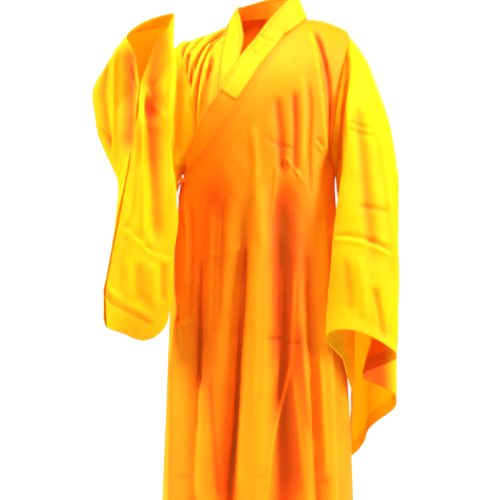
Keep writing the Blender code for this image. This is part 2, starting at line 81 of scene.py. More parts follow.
@dataclass(frozen=True)
class Section:
    """One section of the body: widths to each side, depths, and the heights round it."""

    left: float
    right: float
    front: float
    back: float
    z_left: float
    z_right: float
    z_front: float
    z_back: float

    def row(self) -> tuple[float, ...]:
        """The section's values in order."""
        return (self.left, self.right, self.front, self.back,
                self.z_left, self.z_right, self.z_front, self.z_back)


@dataclass(frozen=True)
class Fold:
    """A fold down the body, from its head to its foot, that stands out (+) or sinks in (-)."""

    side: Side
    x_head: float
    z_head: float
    x_foot: float
    z_foot: float
    z_full: float
    depth: float
    width: float


@dataclass(frozen=True)
class Collar:
    """One place on the collar band: where its seam edge lies, and a point of its free edge."""

    stretch: Stretch
    at: float
    x: float
    y: float | None
    z: float


@dataclass(frozen=True)
class Ring:
    """One ring of a sleeve: its top and foot, the way across, and its layers' half widths."""

    top: tuple[float, float, float]
    foot: tuple[float, float, float]
    across: tuple[float, float, float]
    bow: tuple[float, float, float]
    outer: tuple[float, ...]
    inner: tuple[float, ...]
    crown: float

    def row(self) -> tuple[float, ...]:
        """The ring's values in order."""
        return (self.top + self.foot + self.across + self.bow + self.outer + self.inner
                + (self.crown,))


@dataclass(frozen=True)
class SleeveFold:
    """A fold along a sleeve: its layer, its place from top to foot, and where it comes and goes."""

    layer: Layer
    place: float
    depth: float
    width: float
    start: float
    full: float
    end: float


@dataclass(frozen=True)
class Crease:
    """A soft trough (-) or ridge (+) along a line of x and z that is seen from one side."""

    depth: float
    width: float
    line: tuple[tuple[float, float], ...]
    view: View = View.FRONT


@dataclass(frozen=True)
class Stitch:
    """A row of stitches at a distance from the edge that the UV map's axis counts from."""

    axis: int
    at: float
    pitch: float = 0.0036
    width: float = 0.0007


BODY = (
    Section(-0.077, 0.131, 0.066, 0.078, 0.003, 0.020, -0.048, 0.032),
    Section(-0.122, 0.170, 0.088, 0.098, -0.018, 0.015, -0.080, 0.006),
    Section(-0.172, 0.212, 0.106, 0.112, -0.035, 0.002, -0.118, -0.038),
    Section(-0.212, 0.247, 0.119, 0.122, -0.054, -0.028, -0.158, -0.092),
    Section(-0.214, 0.249, 0.130, 0.126, -0.150, -0.140, -0.225, -0.180),
    Section(-0.203, 0.228, 0.138, 0.122, -0.275, -0.270, -0.318, -0.298),
    Section(-0.194, 0.207, 0.144, 0.118, -0.390, -0.390, -0.405, -0.400),
    Section(-0.211, 0.212, 0.150, 0.124, -0.520, -0.520, -0.523, -0.522),
    Section(-0.226, 0.224, 0.159, 0.138, -0.680, -0.680, -0.680, -0.680),
    Section(-0.234, 0.235, 0.167, 0.154, -0.850, -0.850, -0.850, -0.850),
    Section(-0.241, 0.245, 0.177, 0.170, -1.030, -1.030, -1.030, -1.030),
    Section(-0.249, 0.253, 0.186, 0.184, -1.210, -1.210, -1.210, -1.210),
    Section(-0.256, 0.259, 0.193, 0.194, -1.370, -1.370, -1.370, -1.370),
)

BODY_FOLDS = (
    Fold(Side.FRONT, -0.019, -0.36, -0.078, -1.37, -0.70, -0.023, 0.027),
    Fold(Side.FRONT, 0.004, -0.34, -0.016, -1.37, -0.75, 0.016, 0.024),
    Fold(Side.FRONT, 0.055, -0.20, 0.062, -1.37, -0.80, -0.022, 0.026),
    Fold(Side.FRONT, 0.094, -0.50, 0.128, -1.37, -0.95, 0.015, 0.020),
    Fold(Side.FRONT, 0.120, -0.36, 0.155, -1.37, -0.80, -0.012, 0.019),
    Fold(Side.FRONT, 0.160, -0.30, 0.190, -1.37, -0.80, 0.014, 0.020),
    Fold(Side.FRONT, -0.150, -0.50, -0.160, -1.37, -0.95, -0.014, 0.020),
    Fold(Side.FRONT, -0.098, -0.55, -0.112, -1.37, -0.95, 0.012, 0.024),
    Fold(Side.FRONT, -0.112, -0.04, -0.152, -0.32, -0.12, -0.010, 0.014),
    Fold(Side.FRONT, -0.172, -0.06, -0.190, -0.38, -0.14, -0.009, 0.012),
    Fold(Side.FRONT, 0.150, -0.02, 0.196, -0.42, -0.12, -0.012, 0.015),
    Fold(Side.BACK, 0.170, -0.45, 0.190, -1.37, -0.90, -0.018, 0.022),
    Fold(Side.BACK, 0.118, -0.50, 0.130, -1.37, -0.95, 0.014, 0.024),
    Fold(Side.BACK, 0.068, -0.30, 0.074, -1.37, -0.80, -0.022, 0.026),
    Fold(Side.BACK, 0.010, -0.45, 0.012, -1.37, -0.90, 0.016, 0.026),
    Fold(Side.BACK, -0.048, -0.32, -0.060, -1.37, -0.80, -0.022, 0.025),
    Fold(Side.BACK, -0.100, -0.55, -0.118, -1.37, -0.95, 0.013, 0.024),
    Fold(Side.BACK, -0.155, -0.42, -0.178, -1.37, -0.90, -0.018, 0.022),
    Fold(Side.BACK, 0.130, -0.06, 0.160, -0.40, -0.16, -0.010, 0.018),
    Fold(Side.BACK, -0.100, -0.06, -0.150, -0.40, -0.16, -0.010, 0.018),
)

OUTER_EDGE = (
    (0.020, 0.131), (-0.020, 0.086), (-0.091, 0.031), (-0.134, -0.001),
    (-0.160, -0.017), (-0.220, -0.056), (-0.276, -0.093), (-0.334, -0.133),
    (-0.400, -0.181), (-0.460, -0.196), (-0.720, -0.203), (-0.800, -0.209),
    (-0.900, -0.221), (-0.980, -0.219), (-1.370, -0.226),
)

INNER_EDGE = (
    (0.003, -0.070), (-0.075, -0.090), (-0.145, -0.098), (-0.183, -0.100),
    (-0.250, -0.090), (-0.340, -0.050), (-0.500, 0.000), (-1.370, 0.050),
)

COLLAR = (
    Collar(Stretch.UNDER, -0.310, -0.012, None, -0.292),
    Collar(Stretch.UNDER, -0.250, -0.036, None, -0.235),
    Collar(Stretch.UNDER, -0.183, -0.044, None, -0.168),
    Collar(Stretch.UNDER, -0.120, -0.042, None, -0.105),
    Collar(Stretch.UNDER, -0.060, -0.035, -0.086, -0.045),
    Collar(Stretch.UNDER, -0.028, -0.038, -0.072, -0.015),
    Collar(Stretch.NECK, -3.440, -0.043, -0.048, 0.014),
    Collar(Stretch.NECK, -3.000, -0.050, -0.018, 0.047),
    Collar(Stretch.NECK, -2.300, -0.032, 0.044, 0.062),
    Collar(Stretch.NECK, -1.570, 0.028, 0.068, 0.084),
    Collar(Stretch.NECK, -0.800, 0.084, 0.050, 0.092),
    Collar(Stretch.NECK, 0.000, 0.104, 0.000, 0.088),
    Collar(Stretch.NECK, 0.600, 0.080, -0.048, 0.064),
    Collar(Stretch.NECK, 1.180, 0.031, -0.084, 0.008),
    Collar(Stretch.OVER, -0.090, -0.006, -0.100, -0.044),
    Collar(Stretch.OVER, -0.134, -0.040, None, -0.090),
    Collar(Stretch.OVER, -0.220, -0.101, None, -0.188),
    Collar(Stretch.OVER, -0.276, -0.134, None, -0.246),
    Collar(Stretch.OVER, -0.334, -0.160, None, -0.302),
    Collar(Stretch.OVER, -0.385, -0.179, None, -0.350),
)

RAISED_SLEEVE = (
    Ring((-0.224, 0.000, -0.054), (-0.238, -0.002, -0.410), (-0.1, 1.0, 0.0), (0.0, 0.0, 0.0),
         (0.060, 0.075, 0.080, 0.040, 0.020), (0.060, 0.080, 0.085, 0.035, 0.015), 0.12),
    Ring((-0.272, -0.030, -0.074), (-0.238, -0.040, -0.570), (-0.50, 0.86, 0.0), (0.0, 0.0, 0.0),
         (0.055, 0.062, 0.050, 0.030, 0.015), (0.060, 0.078, 0.060, 0.024, 0.012), 0.11),
    Ring((-0.338, -0.088, -0.118), (-0.236, -0.095, -0.730), (-0.82, 0.57, 0.0), (0.0, 0.0, 0.0),
         (0.050, 0.040, 0.022, 0.018, 0.012), (0.075, 0.100, 0.070, 0.032, 0.014), 0.10),
    Ring((-0.384, -0.152, -0.152), (-0.278, -0.136, -0.819), (-0.98, 0.20, 0.0), (0.0, 0.0, 0.0),
         (0.046, 0.046, -0.004, 0.014, 0.012), (0.125, 0.142, 0.122, 0.074, 0.034), 0.09),
    Ring((-0.342, -0.240, -0.108), (-0.346, -0.200, -0.800), (-0.99, -0.10, -0.10), (0.0, -0.02, 0.0),
         (0.046, 0.030, 0.004, 0.018, 0.010), (0.138, 0.120, 0.080, 0.058, 0.022), 0.07),
    Ring((-0.262, -0.318, -0.018), (-0.372, -0.262, -0.782), (-0.88, 0.0, -0.46), (0.0, -0.03, 0.0),
         (0.066, 0.004, 0.004, 0.026, 0.010), (0.086, 0.004, 0.004, -0.019, -0.004), 0.04),
)

HANGING_SLEEVE = (
    Ring((0.252, 0.000, -0.028), (0.209, 0.000, -0.388), (0.0, 1.0, 0.0), (0.0, 0.0, 0.0),
         (0.060, 0.075, 0.080, 0.055, 0.030), (0.060, 0.080, 0.085, 0.060, 0.030), 0.12),
    Ring((0.286, -0.040, -0.100), (0.219, 0.020, -0.490), (0.45, 0.89, 0.0), (0.0, 0.0, 0.0),
         (0.060, 0.085, 0.085, 0.050, 0.025), (0.060, 0.080, 0.062, 0.026, 0.012), 0.12),
    Ring((0.286, -0.112, -0.270), (0.233, 0.050, -0.670), (0.92, 0.38, 0.0), (0.0, 0.0, 0.0),
         (0.056, 0.102, 0.112, 0.050, 0.025), (0.060, 0.058, 0.026, 0.010, 0.004), 0.12),
    Ring((0.246, -0.162, -0.520), (0.254, 0.080, -0.910), (1.0, 0.10, 0.0), (0.0, 0.0, 0.0),
         (0.062, 0.118, 0.124, 0.056, 0.025), (0.072, 0.030, -0.004, -0.006, 0.002), 0.12),
    Ring((0.222, -0.184, -0.792), (0.254, 0.100, -1.150), (1.0, 0.0, 0.0), (0.0, 0.0, 0.0),
         (0.062, 0.130, 0.126, 0.048, 0.010), (0.078, 0.010, -0.012, -0.006, 0.002), 0.12),
)

RAISED_FOLDS = (
    SleeveFold(Layer.INNER, 0.55, 0.012, 0.10, 0.30, 0.65, 0.94),
    SleeveFold(Layer.OUTER, 0.40, -0.008, 0.08, 0.45, 0.75, 0.95),
)

# The end of a fold that runs on out of the mouth
PAST_MOUTH = 9.0

HANGING_FOLDS = (
    SleeveFold(Layer.OUTER, 0.36, -0.082, 0.085, 0.66, 1.00, PAST_MOUTH),
    SleeveFold(Layer.OUTER, 0.17, 0.012, 0.060, 0.50, 0.95, PAST_MOUTH),
    SleeveFold(Layer.OUTER, 0.60, 0.018, 0.080, 0.66, 1.00, PAST_MOUTH),
    SleeveFold(Layer.OUTER, 0.30, -0.010, 0.070, 0.12, 0.40, PAST_MOUTH),
    SleeveFold(Layer.OUTER, 0.78, -0.014, 0.080, 0.30, 0.70, PAST_MOUTH),
)

OUTER_CREASES = (
    Crease(-0.0075, 0.011, ((0.051, -0.191), (0.058, -0.283), (0.066, -0.412))),
    Crease(-0.008, 0.009, ((0.094, -0.176), (0.099, -0.271), (0.094, -0.412))),
    Crease(-0.0045, 0.006, ((0.13, -0.15), (0.138, -0.232), (0.133, -0.335), (0.138, -0.463))),
    Crease(0.0039, 0.008, ((0.112, -0.13), (0.117, -0.232), (0.115, -0.386))),
    Crease(0.0039, 0.01, ((-0.014, -0.259), (-0.003, -0.361), (-0.006, -0.565))),
    Crease(-0.012, 0.006, ((0.145, -0.004), (0.163, -0.051), (0.174, -0.098), (0.185, -0.157),
           (0.192, -0.222), (0.196, -0.305), (0.194, -0.399))),
    Crease(0.0065, 0.007, ((0.132, -0.004), (0.148, -0.072), (0.158, -0.15), (0.168, -0.227),
           (0.179, -0.318), (0.189, -0.396))),
    Crease(-0.0045, 0.003, ((0.152, -0.302), (0.162, -0.312), (0.17, -0.325))),
    Crease(0.0045, 0.003, ((0.149, -0.315), (0.16, -0.327), (0.167, -0.34))),
    Crease(-0.0033, 0.0035, ((0.022, -0.306), (0.058, -0.322), (0.099, -0.335))),
    Crease(0.0036, 0.004, ((0.063, -0.346), (0.096, -0.386), (0.127, -0.429))),
    Crease(0.003, 0.004, ((-0.133, -0.606), (-0.082, -0.596), (-0.029, -0.581))),
    Crease(-0.0039, 0.0036, ((0.012, -0.81), (0.07, -0.82), (0.131, -0.825))),
    Crease(-0.0036, 0.0036, ((-0.219, -1.167), (-0.191, -1.17), (-0.156, -1.167))),
    Crease(-0.0036, 0.0036, ((-0.049, -1.154), (0.007, -1.162), (0.065, -1.167))),
    Crease(-0.0036, 0.0036, ((0.149, -1.18), (0.184, -1.18))),
    Crease(0.0033, 0.004, ((0.05, -0.367), (0.045, -0.438), (0.04, -0.514))),
    Crease(-0.0053, 0.0045, ((-0.146, -0.591), (-0.149, -0.719), (-0.15, -0.882), (-0.153, -1.088))),
    Crease(0.0084, 0.01, ((-0.148, -0.916), (-0.146, -1.073), (-0.151, -1.251))),
    Crease(-0.0059, 0.007, ((-0.128, -0.895), (-0.11, -1.073), (-0.092, -1.251))),
    Crease(-0.0056, 0.005, ((-0.029, -0.527), (-0.034, -0.693), (-0.047, -0.881), (-0.054, -1.036),
           (-0.067, -1.176), (-0.075, -1.303))),
    # A broad trough down the front, whose depth also paints the brown shade of the valley there
    Crease(-0.0105, 0.042, ((0.068, -0.375), (0.075, -0.464), (0.083, -0.616), (0.091, -0.795),
           (0.096, -1.023), (0.103, -1.303))),
    # A broad shallow trough down the torso under the raised sleeve, whose depth paints the sleeve's
    # cast shadow there
    Crease(-0.0065, 0.036, ((-0.111, -0.335), (-0.124, -0.591), (-0.121, -0.834), (-0.103, -1.051),
           (-0.095, -1.307))),
    Crease(0.004, 0.012, ((0.012, -0.387), (0.007, -0.616), (-0.003, -0.82), (-0.019, -1.049))),
    Crease(0.0059, 0.008, ((-0.009, -0.515), (-0.014, -0.718), (-0.025, -0.881), (-0.035, -1.049),
           (-0.049, -1.252))),
    Crease(0.0067, 0.005, ((0.101, -0.591), (0.093, -0.692), (0.087, -0.827), (0.084, -0.88),
           (0.06, -0.982), (0.037, -1.086), (0.022, -1.19), (0.009, -1.301))),
    Crease(0.0067, 0.005, ((0.087, -0.875), (0.095, -0.956), (0.113, -1.111), (0.128, -1.225),
           (0.139, -1.314))),
    Crease(-0.0072, 0.01, ((0.108, -0.769), (0.116, -0.895), (0.136, -1.073))),
    Crease(0.0053, 0.004, ((-0.207, -0.787), (-0.189, -0.78), (-0.163, -0.767))),
    Crease(0.006, 0.005, ((-0.202, -0.782), (-0.197, -0.836), (-0.206, -0.896))),
    Crease(-0.0067, 0.0045, ((-0.22, -0.71), (-0.212, -0.756), (-0.205, -0.785))),
    Crease(0.0059, 0.007, ((0.161, -0.848), (0.169, -1.028), (0.177, -1.182))),
    Crease(-0.0039, 0.006, ((-0.087, -0.438), (-0.092, -0.591), (-0.1, -0.795))),
    Crease(0.0039, 0.008, ((-0.118, -0.464), (-0.123, -0.642), (-0.128, -0.845))),
    Crease(-0.0036, 0.006, ((0.012, -0.591), (0.009, -0.795), (-0.001, -1.023))),
    Crease(0.0039, 0.007, ((0.06, -0.616), (0.058, -0.795), (0.047, -0.947))),
    Crease(0.0045, 0.0045, ((-0.191, -0.45), (-0.181, -0.54), (-0.183, -0.694))),
    Crease(-0.0045, 0.005, ((-0.173, -0.462), (-0.168, -0.617), (-0.173, -0.797))),
)

INNER_CREASES = (
    Crease(-0.011, 0.004, ((-0.163, -0.023), (-0.191, -0.06), (-0.2, -0.092), (-0.197, -0.12),
           (-0.19, -0.172), (-0.189, -0.251), (-0.186, -0.382))),
    Crease(-0.008, 0.0036, ((-0.126, -0.01), (-0.157, -0.047), (-0.176, -0.073), (-0.183, -0.104),
           (-0.185, -0.172), (-0.183, -0.277))),
    Crease(-0.0115, 0.004, ((-0.055, 0.015), (-0.102, -0.022), (-0.131, -0.051), (-0.146, -0.072),
           (-0.158, -0.098), (-0.167, -0.126), (-0.175, -0.163), (-0.179, -0.213), (-0.18, -0.291))),
    Crease(-0.0105, 0.004, ((-0.081, -0.008), (-0.115, -0.042), (-0.133, -0.081), (-0.146, -0.115),
           (-0.153, -0.148), (-0.158, -0.18), (-0.163, -0.232), (-0.166, -0.37))),
    Crease(0.0065, 0.0038, ((-0.141, -0.022), (-0.173, -0.064), (-0.187, -0.095), (-0.19, -0.147))),
    Crease(0.007, 0.0038, ((-0.097, -0.009), (-0.133, -0.043), (-0.157, -0.079), (-0.167, -0.111),
           (-0.178, -0.158), (-0.183, -0.199))),
    Crease(0.0075, 0.004, ((-0.092, -0.022), (-0.123, -0.053), (-0.139, -0.085), (-0.154, -0.126),
           (-0.163, -0.168), (-0.171, -0.22), (-0.174, -0.343))),
    Crease(-0.0065, 0.0036, ((-0.06, 0.001), (-0.097, -0.035), (-0.115, -0.059), (-0.121, -0.087),
           (-0.124, -0.124), (-0.133, -0.17))),
    Crease(-0.004, 0.005, ((-0.133, -0.113), (-0.143, -0.175), (-0.146, -0.24))),
    Crease(0.006, 0.0045, ((-0.076, -0.025), (-0.112, -0.064), (-0.128, -0.098), (-0.138, -0.144),
           (-0.148, -0.201), (-0.152, -0.248))),
)

RAISED_CREASES = (
    # A shallow trough on the mouth's flap, there mostly to paint shade onto it through its depth
    Crease(-0.007, 0.014, ((-0.203, -0.097), (-0.205, -0.223), (-0.208, -0.367))),
    Crease(0.01, 0.006, ((-0.343, -0.076), (-0.35, -0.137), (-0.352, -0.234), (-0.352, -0.336),
           (-0.35, -0.451))),
    Crease(-0.008, 0.012, ((-0.378, -0.111), (-0.391, -0.208), (-0.381, -0.285), (-0.363, -0.361))),
    Crease(-0.0045, 0.0035, ((-0.407, -0.275), (-0.384, -0.308), (-0.358, -0.342))),
    Crease(-0.011, 0.017, ((-0.314, -0.084), (-0.314, -0.169), (-0.317, -0.28), (-0.322, -0.367))),
    Crease(0.006, 0.005, ((-0.275, -0.177), (-0.283, -0.271), (-0.297, -0.394), (-0.307, -0.529))),
    Crease(-0.012, 0.016, ((-0.259, -0.19), (-0.254, -0.341), (-0.249, -0.478), (-0.247, -0.596))),
    Crease(0.007, 0.006, ((-0.292, -0.21), (-0.289, -0.341), (-0.287, -0.478), (-0.284, -0.591))),
    Crease(0.009, 0.008, ((-0.217, -0.025), (-0.217, -0.14), (-0.222, -0.24), (-0.217, -0.391),
           (-0.213, -0.528))),
    Crease(0.006, 0.006, ((-0.272, -0.19), (-0.252, -0.225), (-0.227, -0.265))),
    Crease(-0.011, 0.02, ((-0.227, -0.044), (-0.242, -0.119), (-0.257, -0.189), (-0.247, -0.28))),
    Crease(-0.006, 0.0035, ((-0.344, -0.513), (-0.307, -0.546), (-0.287, -0.563), (-0.274, -0.581),
           (-0.264, -0.586), (-0.227, -0.606), (-0.199, -0.614))),
    Crease(0.004, 0.005, ((-0.344, -0.531), (-0.309, -0.561), (-0.289, -0.578), (-0.274, -0.596),
           (-0.229, -0.621), (-0.204, -0.629))),
    Crease(-0.005, 0.004, ((-0.381, -0.692), (-0.362, -0.722), (-0.328, -0.742), (-0.296, -0.762),
           (-0.255, -0.787))),
    Crease(0.0045, 0.006, ((-0.379, -0.672), (-0.359, -0.702), (-0.326, -0.724), (-0.293, -0.745),
           (-0.255, -0.767))),
    Crease(-0.004, 0.012, ((-0.297, -0.621), (-0.292, -0.729))),
    Crease(0.004, 0.012, ((-0.324, -0.611), (-0.322, -0.716))),
    Crease(0.005, 0.012, ((-0.264, -0.621), (-0.262, -0.746))),
    Crease(-0.005, 0.01, ((-0.237, -0.621), (-0.237, -0.729))),
    Crease(-0.003, 0.003, ((-0.317, -0.138), (-0.31, -0.172), (-0.295, -0.211))),
    Crease(-0.003, 0.003, ((-0.223, -0.128), (-0.241, -0.167), (-0.258, -0.202))),
    Crease(-0.003, 0.004, ((-0.269, -0.285), (-0.249, -0.298), (-0.227, -0.301))),
)

HANGING_CREASES = (
    Crease(-0.012, 0.006, ((0.222, -0.027), (0.235, -0.095), (0.228, -0.171), (0.224, -0.239),
           (0.222, -0.304), (0.211, -0.421))),
    Crease(0.0065, 0.006, ((0.206, -0.022), (0.219, -0.095), (0.214, -0.199), (0.211, -0.304))),
    Crease(0.0065, 0.006, ((0.255, -0.069), (0.25, -0.141), (0.24, -0.193), (0.229, -0.258),
           (0.219, -0.325), (0.209, -0.423))),
    Crease(0.0078, 0.01, ((0.285, -0.172), (0.298, -0.232), (0.311, -0.285), (0.323, -0.337),
           (0.333, -0.408), (0.348, -0.539), (0.356, -0.696))),
    Crease(-0.0072, 0.016, ((0.259, -0.188), (0.27, -0.331), (0.285, -0.487), (0.296, -0.643))),
    Crease(-0.0036, 0.0032, ((0.235, -0.259), (0.266, -0.268), (0.299, -0.281))),
    Crease(-0.0036, 0.0032, ((0.232, -0.28), (0.266, -0.287), (0.304, -0.299))),
    Crease(-0.0036, 0.0035, ((0.316, -0.289), (0.343, -0.302))),
    Crease(-0.0036, 0.0035, ((0.324, -0.323), (0.35, -0.338))),
    Crease(-0.0036, 0.0035, ((0.327, -0.346), (0.35, -0.357))),
    Crease(0.0053, 0.0045, ((0.185, -0.565), (0.227, -0.566), (0.271, -0.573), (0.307, -0.588),
           (0.351, -0.614))),
    Crease(-0.0053, 0.0045, ((0.188, -0.552), (0.227, -0.554), (0.271, -0.559), (0.31, -0.573),
           (0.351, -0.599))),
    Crease(-0.0039, 0.006, ((0.255, -0.475), (0.297, -0.482), (0.343, -0.495))),
    Crease(-0.0065, 0.008, ((0.297, -0.681), (0.312, -0.751), (0.325, -0.824))),
    Crease(-0.0039, 0.01, ((0.22, -0.604), (0.231, -0.681), (0.236, -0.758))),
    Crease(0.0039, 0.01, ((0.256, -0.604), (0.267, -0.681), (0.272, -0.771))),
)

BACK_CREASES = (
    Crease(-0.0024, 0.0036, ((-0.16, -0.335), (-0.02, -0.33), (0.15, -0.338)), View.BACK),
    Crease(-0.0024, 0.0036, ((-0.17, -0.815), (0.02, -0.822), (0.18, -0.812)), View.BACK),
    Crease(-0.0024, 0.0036, ((-0.2, -1.165), (-0.06, -1.16), (0.12, -1.17)), View.BACK),
    Crease(0.005, 0.008, ((0.145, -0.3), (0.15, -0.7), (0.165, -1.36)), View.BACK),
    Crease(-0.0055, 0.008, ((0.092, -0.12), (0.1, -0.5), (0.112, -1.1)), View.BACK),
    Crease(0.0045, 0.009, ((0.04, -0.4), (0.044, -0.9), (0.047, -1.36)), View.BACK),
    Crease(-0.005, 0.007, ((-0.02, -0.2), (-0.022, -0.62), (-0.03, -1.2)), View.BACK),
    Crease(0.005, 0.008, ((-0.078, -0.35), (-0.084, -0.8), (-0.096, -1.36)), View.BACK),
    Crease(-0.006, 0.007, ((-0.128, -0.1), (-0.135, -0.48), (-0.15, -0.95)), View.BACK),
    Crease(-0.007, 0.006, ((0.16, -0.07), (0.176, -0.2), (0.178, -0.38)), View.BACK),
    Crease(-0.007, 0.006, ((-0.14, -0.08), (-0.165, -0.2), (-0.17, -0.36)), View.BACK),
    Crease(0.0045, 0.006, ((0.145, -0.08), (0.162, -0.2), (0.163, -0.34)), View.BACK),
    Crease(0.0045, 0.006, ((-0.152, -0.09), (-0.178, -0.22), (-0.184, -0.34)), View.BACK),
)

COLLAR_CREASES = (
    Crease(-0.0016, 0.003, ((0, -0.033), (0.025, -0.048), (0.05, -0.05))),
    Crease(-0.0014, 0.0028, ((0.012, -0.062), (0.035, -0.068))),
    Crease(-0.0014, 0.003, ((-0.014, -0.08), (0.014, -0.094))),
    Crease(0.0014, 0.003, ((-0.028, -0.108), (-0.004, -0.12))),
    Crease(-0.0014, 0.003, ((0.02, 0.04), (0.03, 0.07)), View.BACK),
)

# A crease swells and dies away over these shares of its length
HEAD_FADE = 0.14
FOOT_FADE = 0.18

# A crease fades out where the cloth turns away from the side that it is seen from
LEAST_FACING = 0.05
FACING_FADE = 0.35

# Depth of a crease or fold at which the cloth takes its full painted shade in a trough, or its full
# painted light on a ridge, and the same in the collar
FULL_SHADE_DEPTH = 0.014
FULL_COLLAR_SHADE_DEPTH = 0.008

# Slow unevenness is a sum of this many waves, each turned this far from the one before
RIPPLE_WAVES = 6
GOLDEN_TURN = 2.399

# How often a search halves its range
HALVINGS = 24

# A body fold whose foot is above this height fades out over this length above its foot
SKIRT_TOP = -1.0
FOLD_FADE = 0.10


def ease(value: Array | float) -> Array:
    """Smooth step from 0 to 1."""
    value = np.clip(value, 0.0, 1.0)
    return value * value * (3.0 - 2.0 * value)


def spline(rows: Sequence, place: Array | float) -> Array:
    """Values of a smooth curve through equally spaced rows.

    Args:
        rows: the rows of values.
        place: places along the curve, counted in rows.

    Returns:
        The values at each place, along the last axis.
    """
    rows = np.asarray(rows, float)
    place = np.asarray(place, float)
    last = len(rows) - 1
    index = np.clip(place.astype(int), 0, last - 1)
    part = (place - index)[..., None]
    before, start = rows[np.maximum(index - 1, 0)], rows[index]
    end, after = rows[index + 1], rows[np.minimum(index + 2, last)]
    return 0.5 * (
        2.0 * start + (end - before) * part
        + (2.0 * before - 5.0 * start + 4.0 * end - after) * part ** 2
        + (3.0 * start - before - 3.0 * end + after) * part ** 3
    )


def signed_power(value: Array | float, power: float) -> Array:
    """Power of a number's size, with its sign kept."""
    return np.sign(value) * np.abs(value) ** power


def turning_place(low: float, high: float, before: Callable[[float], bool]) -> float:
    """Place between two ends at which a test stops being true.

    Args:
        low: the end where the test is true.
        high: the end where it is false.
        before: the test.

    Returns:
        The place.
    """
    for _ in range(HALVINGS):
        middle = (low + high) / 2.0
        if before(middle):
            low = middle
        else:
            high = middle
    return (low + high) / 2.0


def grid_normals(points: Array, ring: bool = False) -> Array:
    """Unit normals of a surface that is given as a grid of points.

    Args:
        points: the grid, with the axes first way, second way and xyz.
        ring: whether the first way closes on itself, its last row repeating its first.

    Returns:
        One unit vector for each point, along first way x second way.
    """
    if ring:
        wrapped = np.concatenate([points[-2:-1], points, points[1:2]], axis=0)
        first = np.gradient(wrapped, axis=0)[1:-1]
    else:
        first = np.gradient(points, axis=0)
    normal = np.cross(first, np.gradient(points, axis=1))
    return normal / np.maximum(np.linalg.norm(normal, axis=-1, keepdims=True), 1e-12)


def crease_height(points: Array, normals: Array, creases: Sequence[Crease]) -> Array:
    """How far the creases stand out of a surface.

    Args:
        points: points of the surface.
        normals: the surface's outward normals there.
        creases: the creases that cross it.

    Returns:
        The height at each point.
    """
    total = np.zeros(points.shape[:-1])
    flat = points[..., (0, 2)]
    for crease in creases:
        line = np.array(crease.line)
        steps = np.linalg.norm(np.diff(line, axis=0), axis=1)
        ran = np.concatenate([[0.0], np.cumsum(steps)])
        best, along = np.full(flat.shape[:-1], np.inf), np.zeros(flat.shape[:-1])
        for number, step in enumerate(steps):
            start, way = line[number], (line[number + 1] - line[number]) / step
            offset = flat - start
            reach = np.clip(offset @ way, 0.0, step)
            away = np.linalg.norm(offset - reach[..., None] * way, axis=-1)
            nearer = away < best
            best = np.where(nearer, away, best)
            along = np.where(nearer, ran[number] + reach, along)
        share = along / ran[-1]
        tail = ease(share / HEAD_FADE) * ease((1.0 - share) / FOOT_FADE)
        seen = ease((normals @ np.array(crease.view.value) - LEAST_FACING) / FACING_FADE)
        total += crease.depth * np.exp(-(best / crease.width) ** 2) * tail * seen
    return total


@dataclass(frozen=True)
class Ripple:
    """Slow unevenness, as cloth has everywhere: its height, its spacing and its own pattern."""

    height: float
    size: float
    seed: float

    def at(self, points: Array) -> Array:
        """How far the unevenness stands out.

        Args:
            points: points of the surface.

        Returns:
            The height at each point.
        """
        total = np.zeros(points.shape[:-1])
        for number in range(RIPPLE_WAVES):
            turn = self.seed * 1.7 + number * GOLDEN_TURN
            way = np.array((math.cos(turn), math.sin(turn) * 0.8, math.sin(turn * 1.3) * 0.55))
            rate = (2.0 * math.pi / self.size) * (0.7 + 0.17 * number)
            total += np.sin(points @ way * rate + self.seed + number)
        return self.height * (total / 3.2)


def lengths(points: Array, axis: int, from_end: bool = False) -> Array:
    """Distance run along one way of a grid.

    Args:
        points: the grid.
        axis: the way, 0 or 1.
        from_end: whether to count from its end.

    Returns:
        The distance at each point.
    """
    steps = np.linalg.norm(np.diff(points, axis=axis), axis=-1)
    shape = list(points.shape[:2])
    shape[axis] = 1
    run = np.concatenate([np.zeros(shape), np.cumsum(steps, axis=axis)], axis=axis)
    return np.take(run, [-1], axis=axis) - run if from_end else run


def cloth_mesh(name: str, points: Array, uv: Array, fold: Array, thick: float,
               ring: bool = False) -> bpy.types.Object:
    """A piece of cloth from a grid of points, with its wall on the inside.

    Args:
        name: the piece's name.
        points: the grid of points.
        uv: the flat place of each point on the cloth, in metres.
        fold: how far each point stands out (+) or lies in a trough (-), from -1 to 1; the material
            paints light and shade from it.
        thick: the wall's thickness.
        ring: whether the first way closes on itself.

    Returns:
        The finished object.
    """
    count_u, count_v = points.shape[:2]
    shape = bmesh.new()
    bmesh.ops.create_grid(shape, x_segments=count_u - 1, y_segments=count_v - 1, size=1.0)
    shape.verts.ensure_lookup_table()
    flat = np.array([vert.co[:2] for vert in shape.verts])
    order = np.lexsort((flat[:, 0].round(5), flat[:, 1].round(5)))
    places = points.transpose(1, 0, 2).reshape(-1, 3)
    cut = uv.transpose(1, 0, 2).reshape(-1, 2)
    depth = fold.T.reshape(-1)
    uv_layer = shape.loops.layers.uv.new("cloth")
    fold_layer = shape.verts.layers.float.new("fold")
    where = np.empty(len(order), int)
    where[order] = np.arange(len(order))
    for vert in shape.verts:
        number = where[vert.index]
        vert.co = places[number]
        vert[fold_layer] = depth[number]
    for face in shape.faces:
        for loop in face.loops:
            loop[uv_layer].uv = cut[where[loop.vert.index]]
    if ring:
        bmesh.ops.remove_doubles(shape, verts=shape.verts, dist=0.00001)
    shape.normal_update()
    mesh = bpy.data.meshes.new(name)
    shape.to_mesh(mesh)
    shape.free()
    mesh.shade_smooth()
    piece = bpy.data.objects.new(name, mesh)
    bpy.context.scene.collection.objects.link(piece)
    wall = piece.modifiers.new("Wall", "SOLIDIFY")
    wall.thickness = thick
    wall.offset = -1.0
    return piece


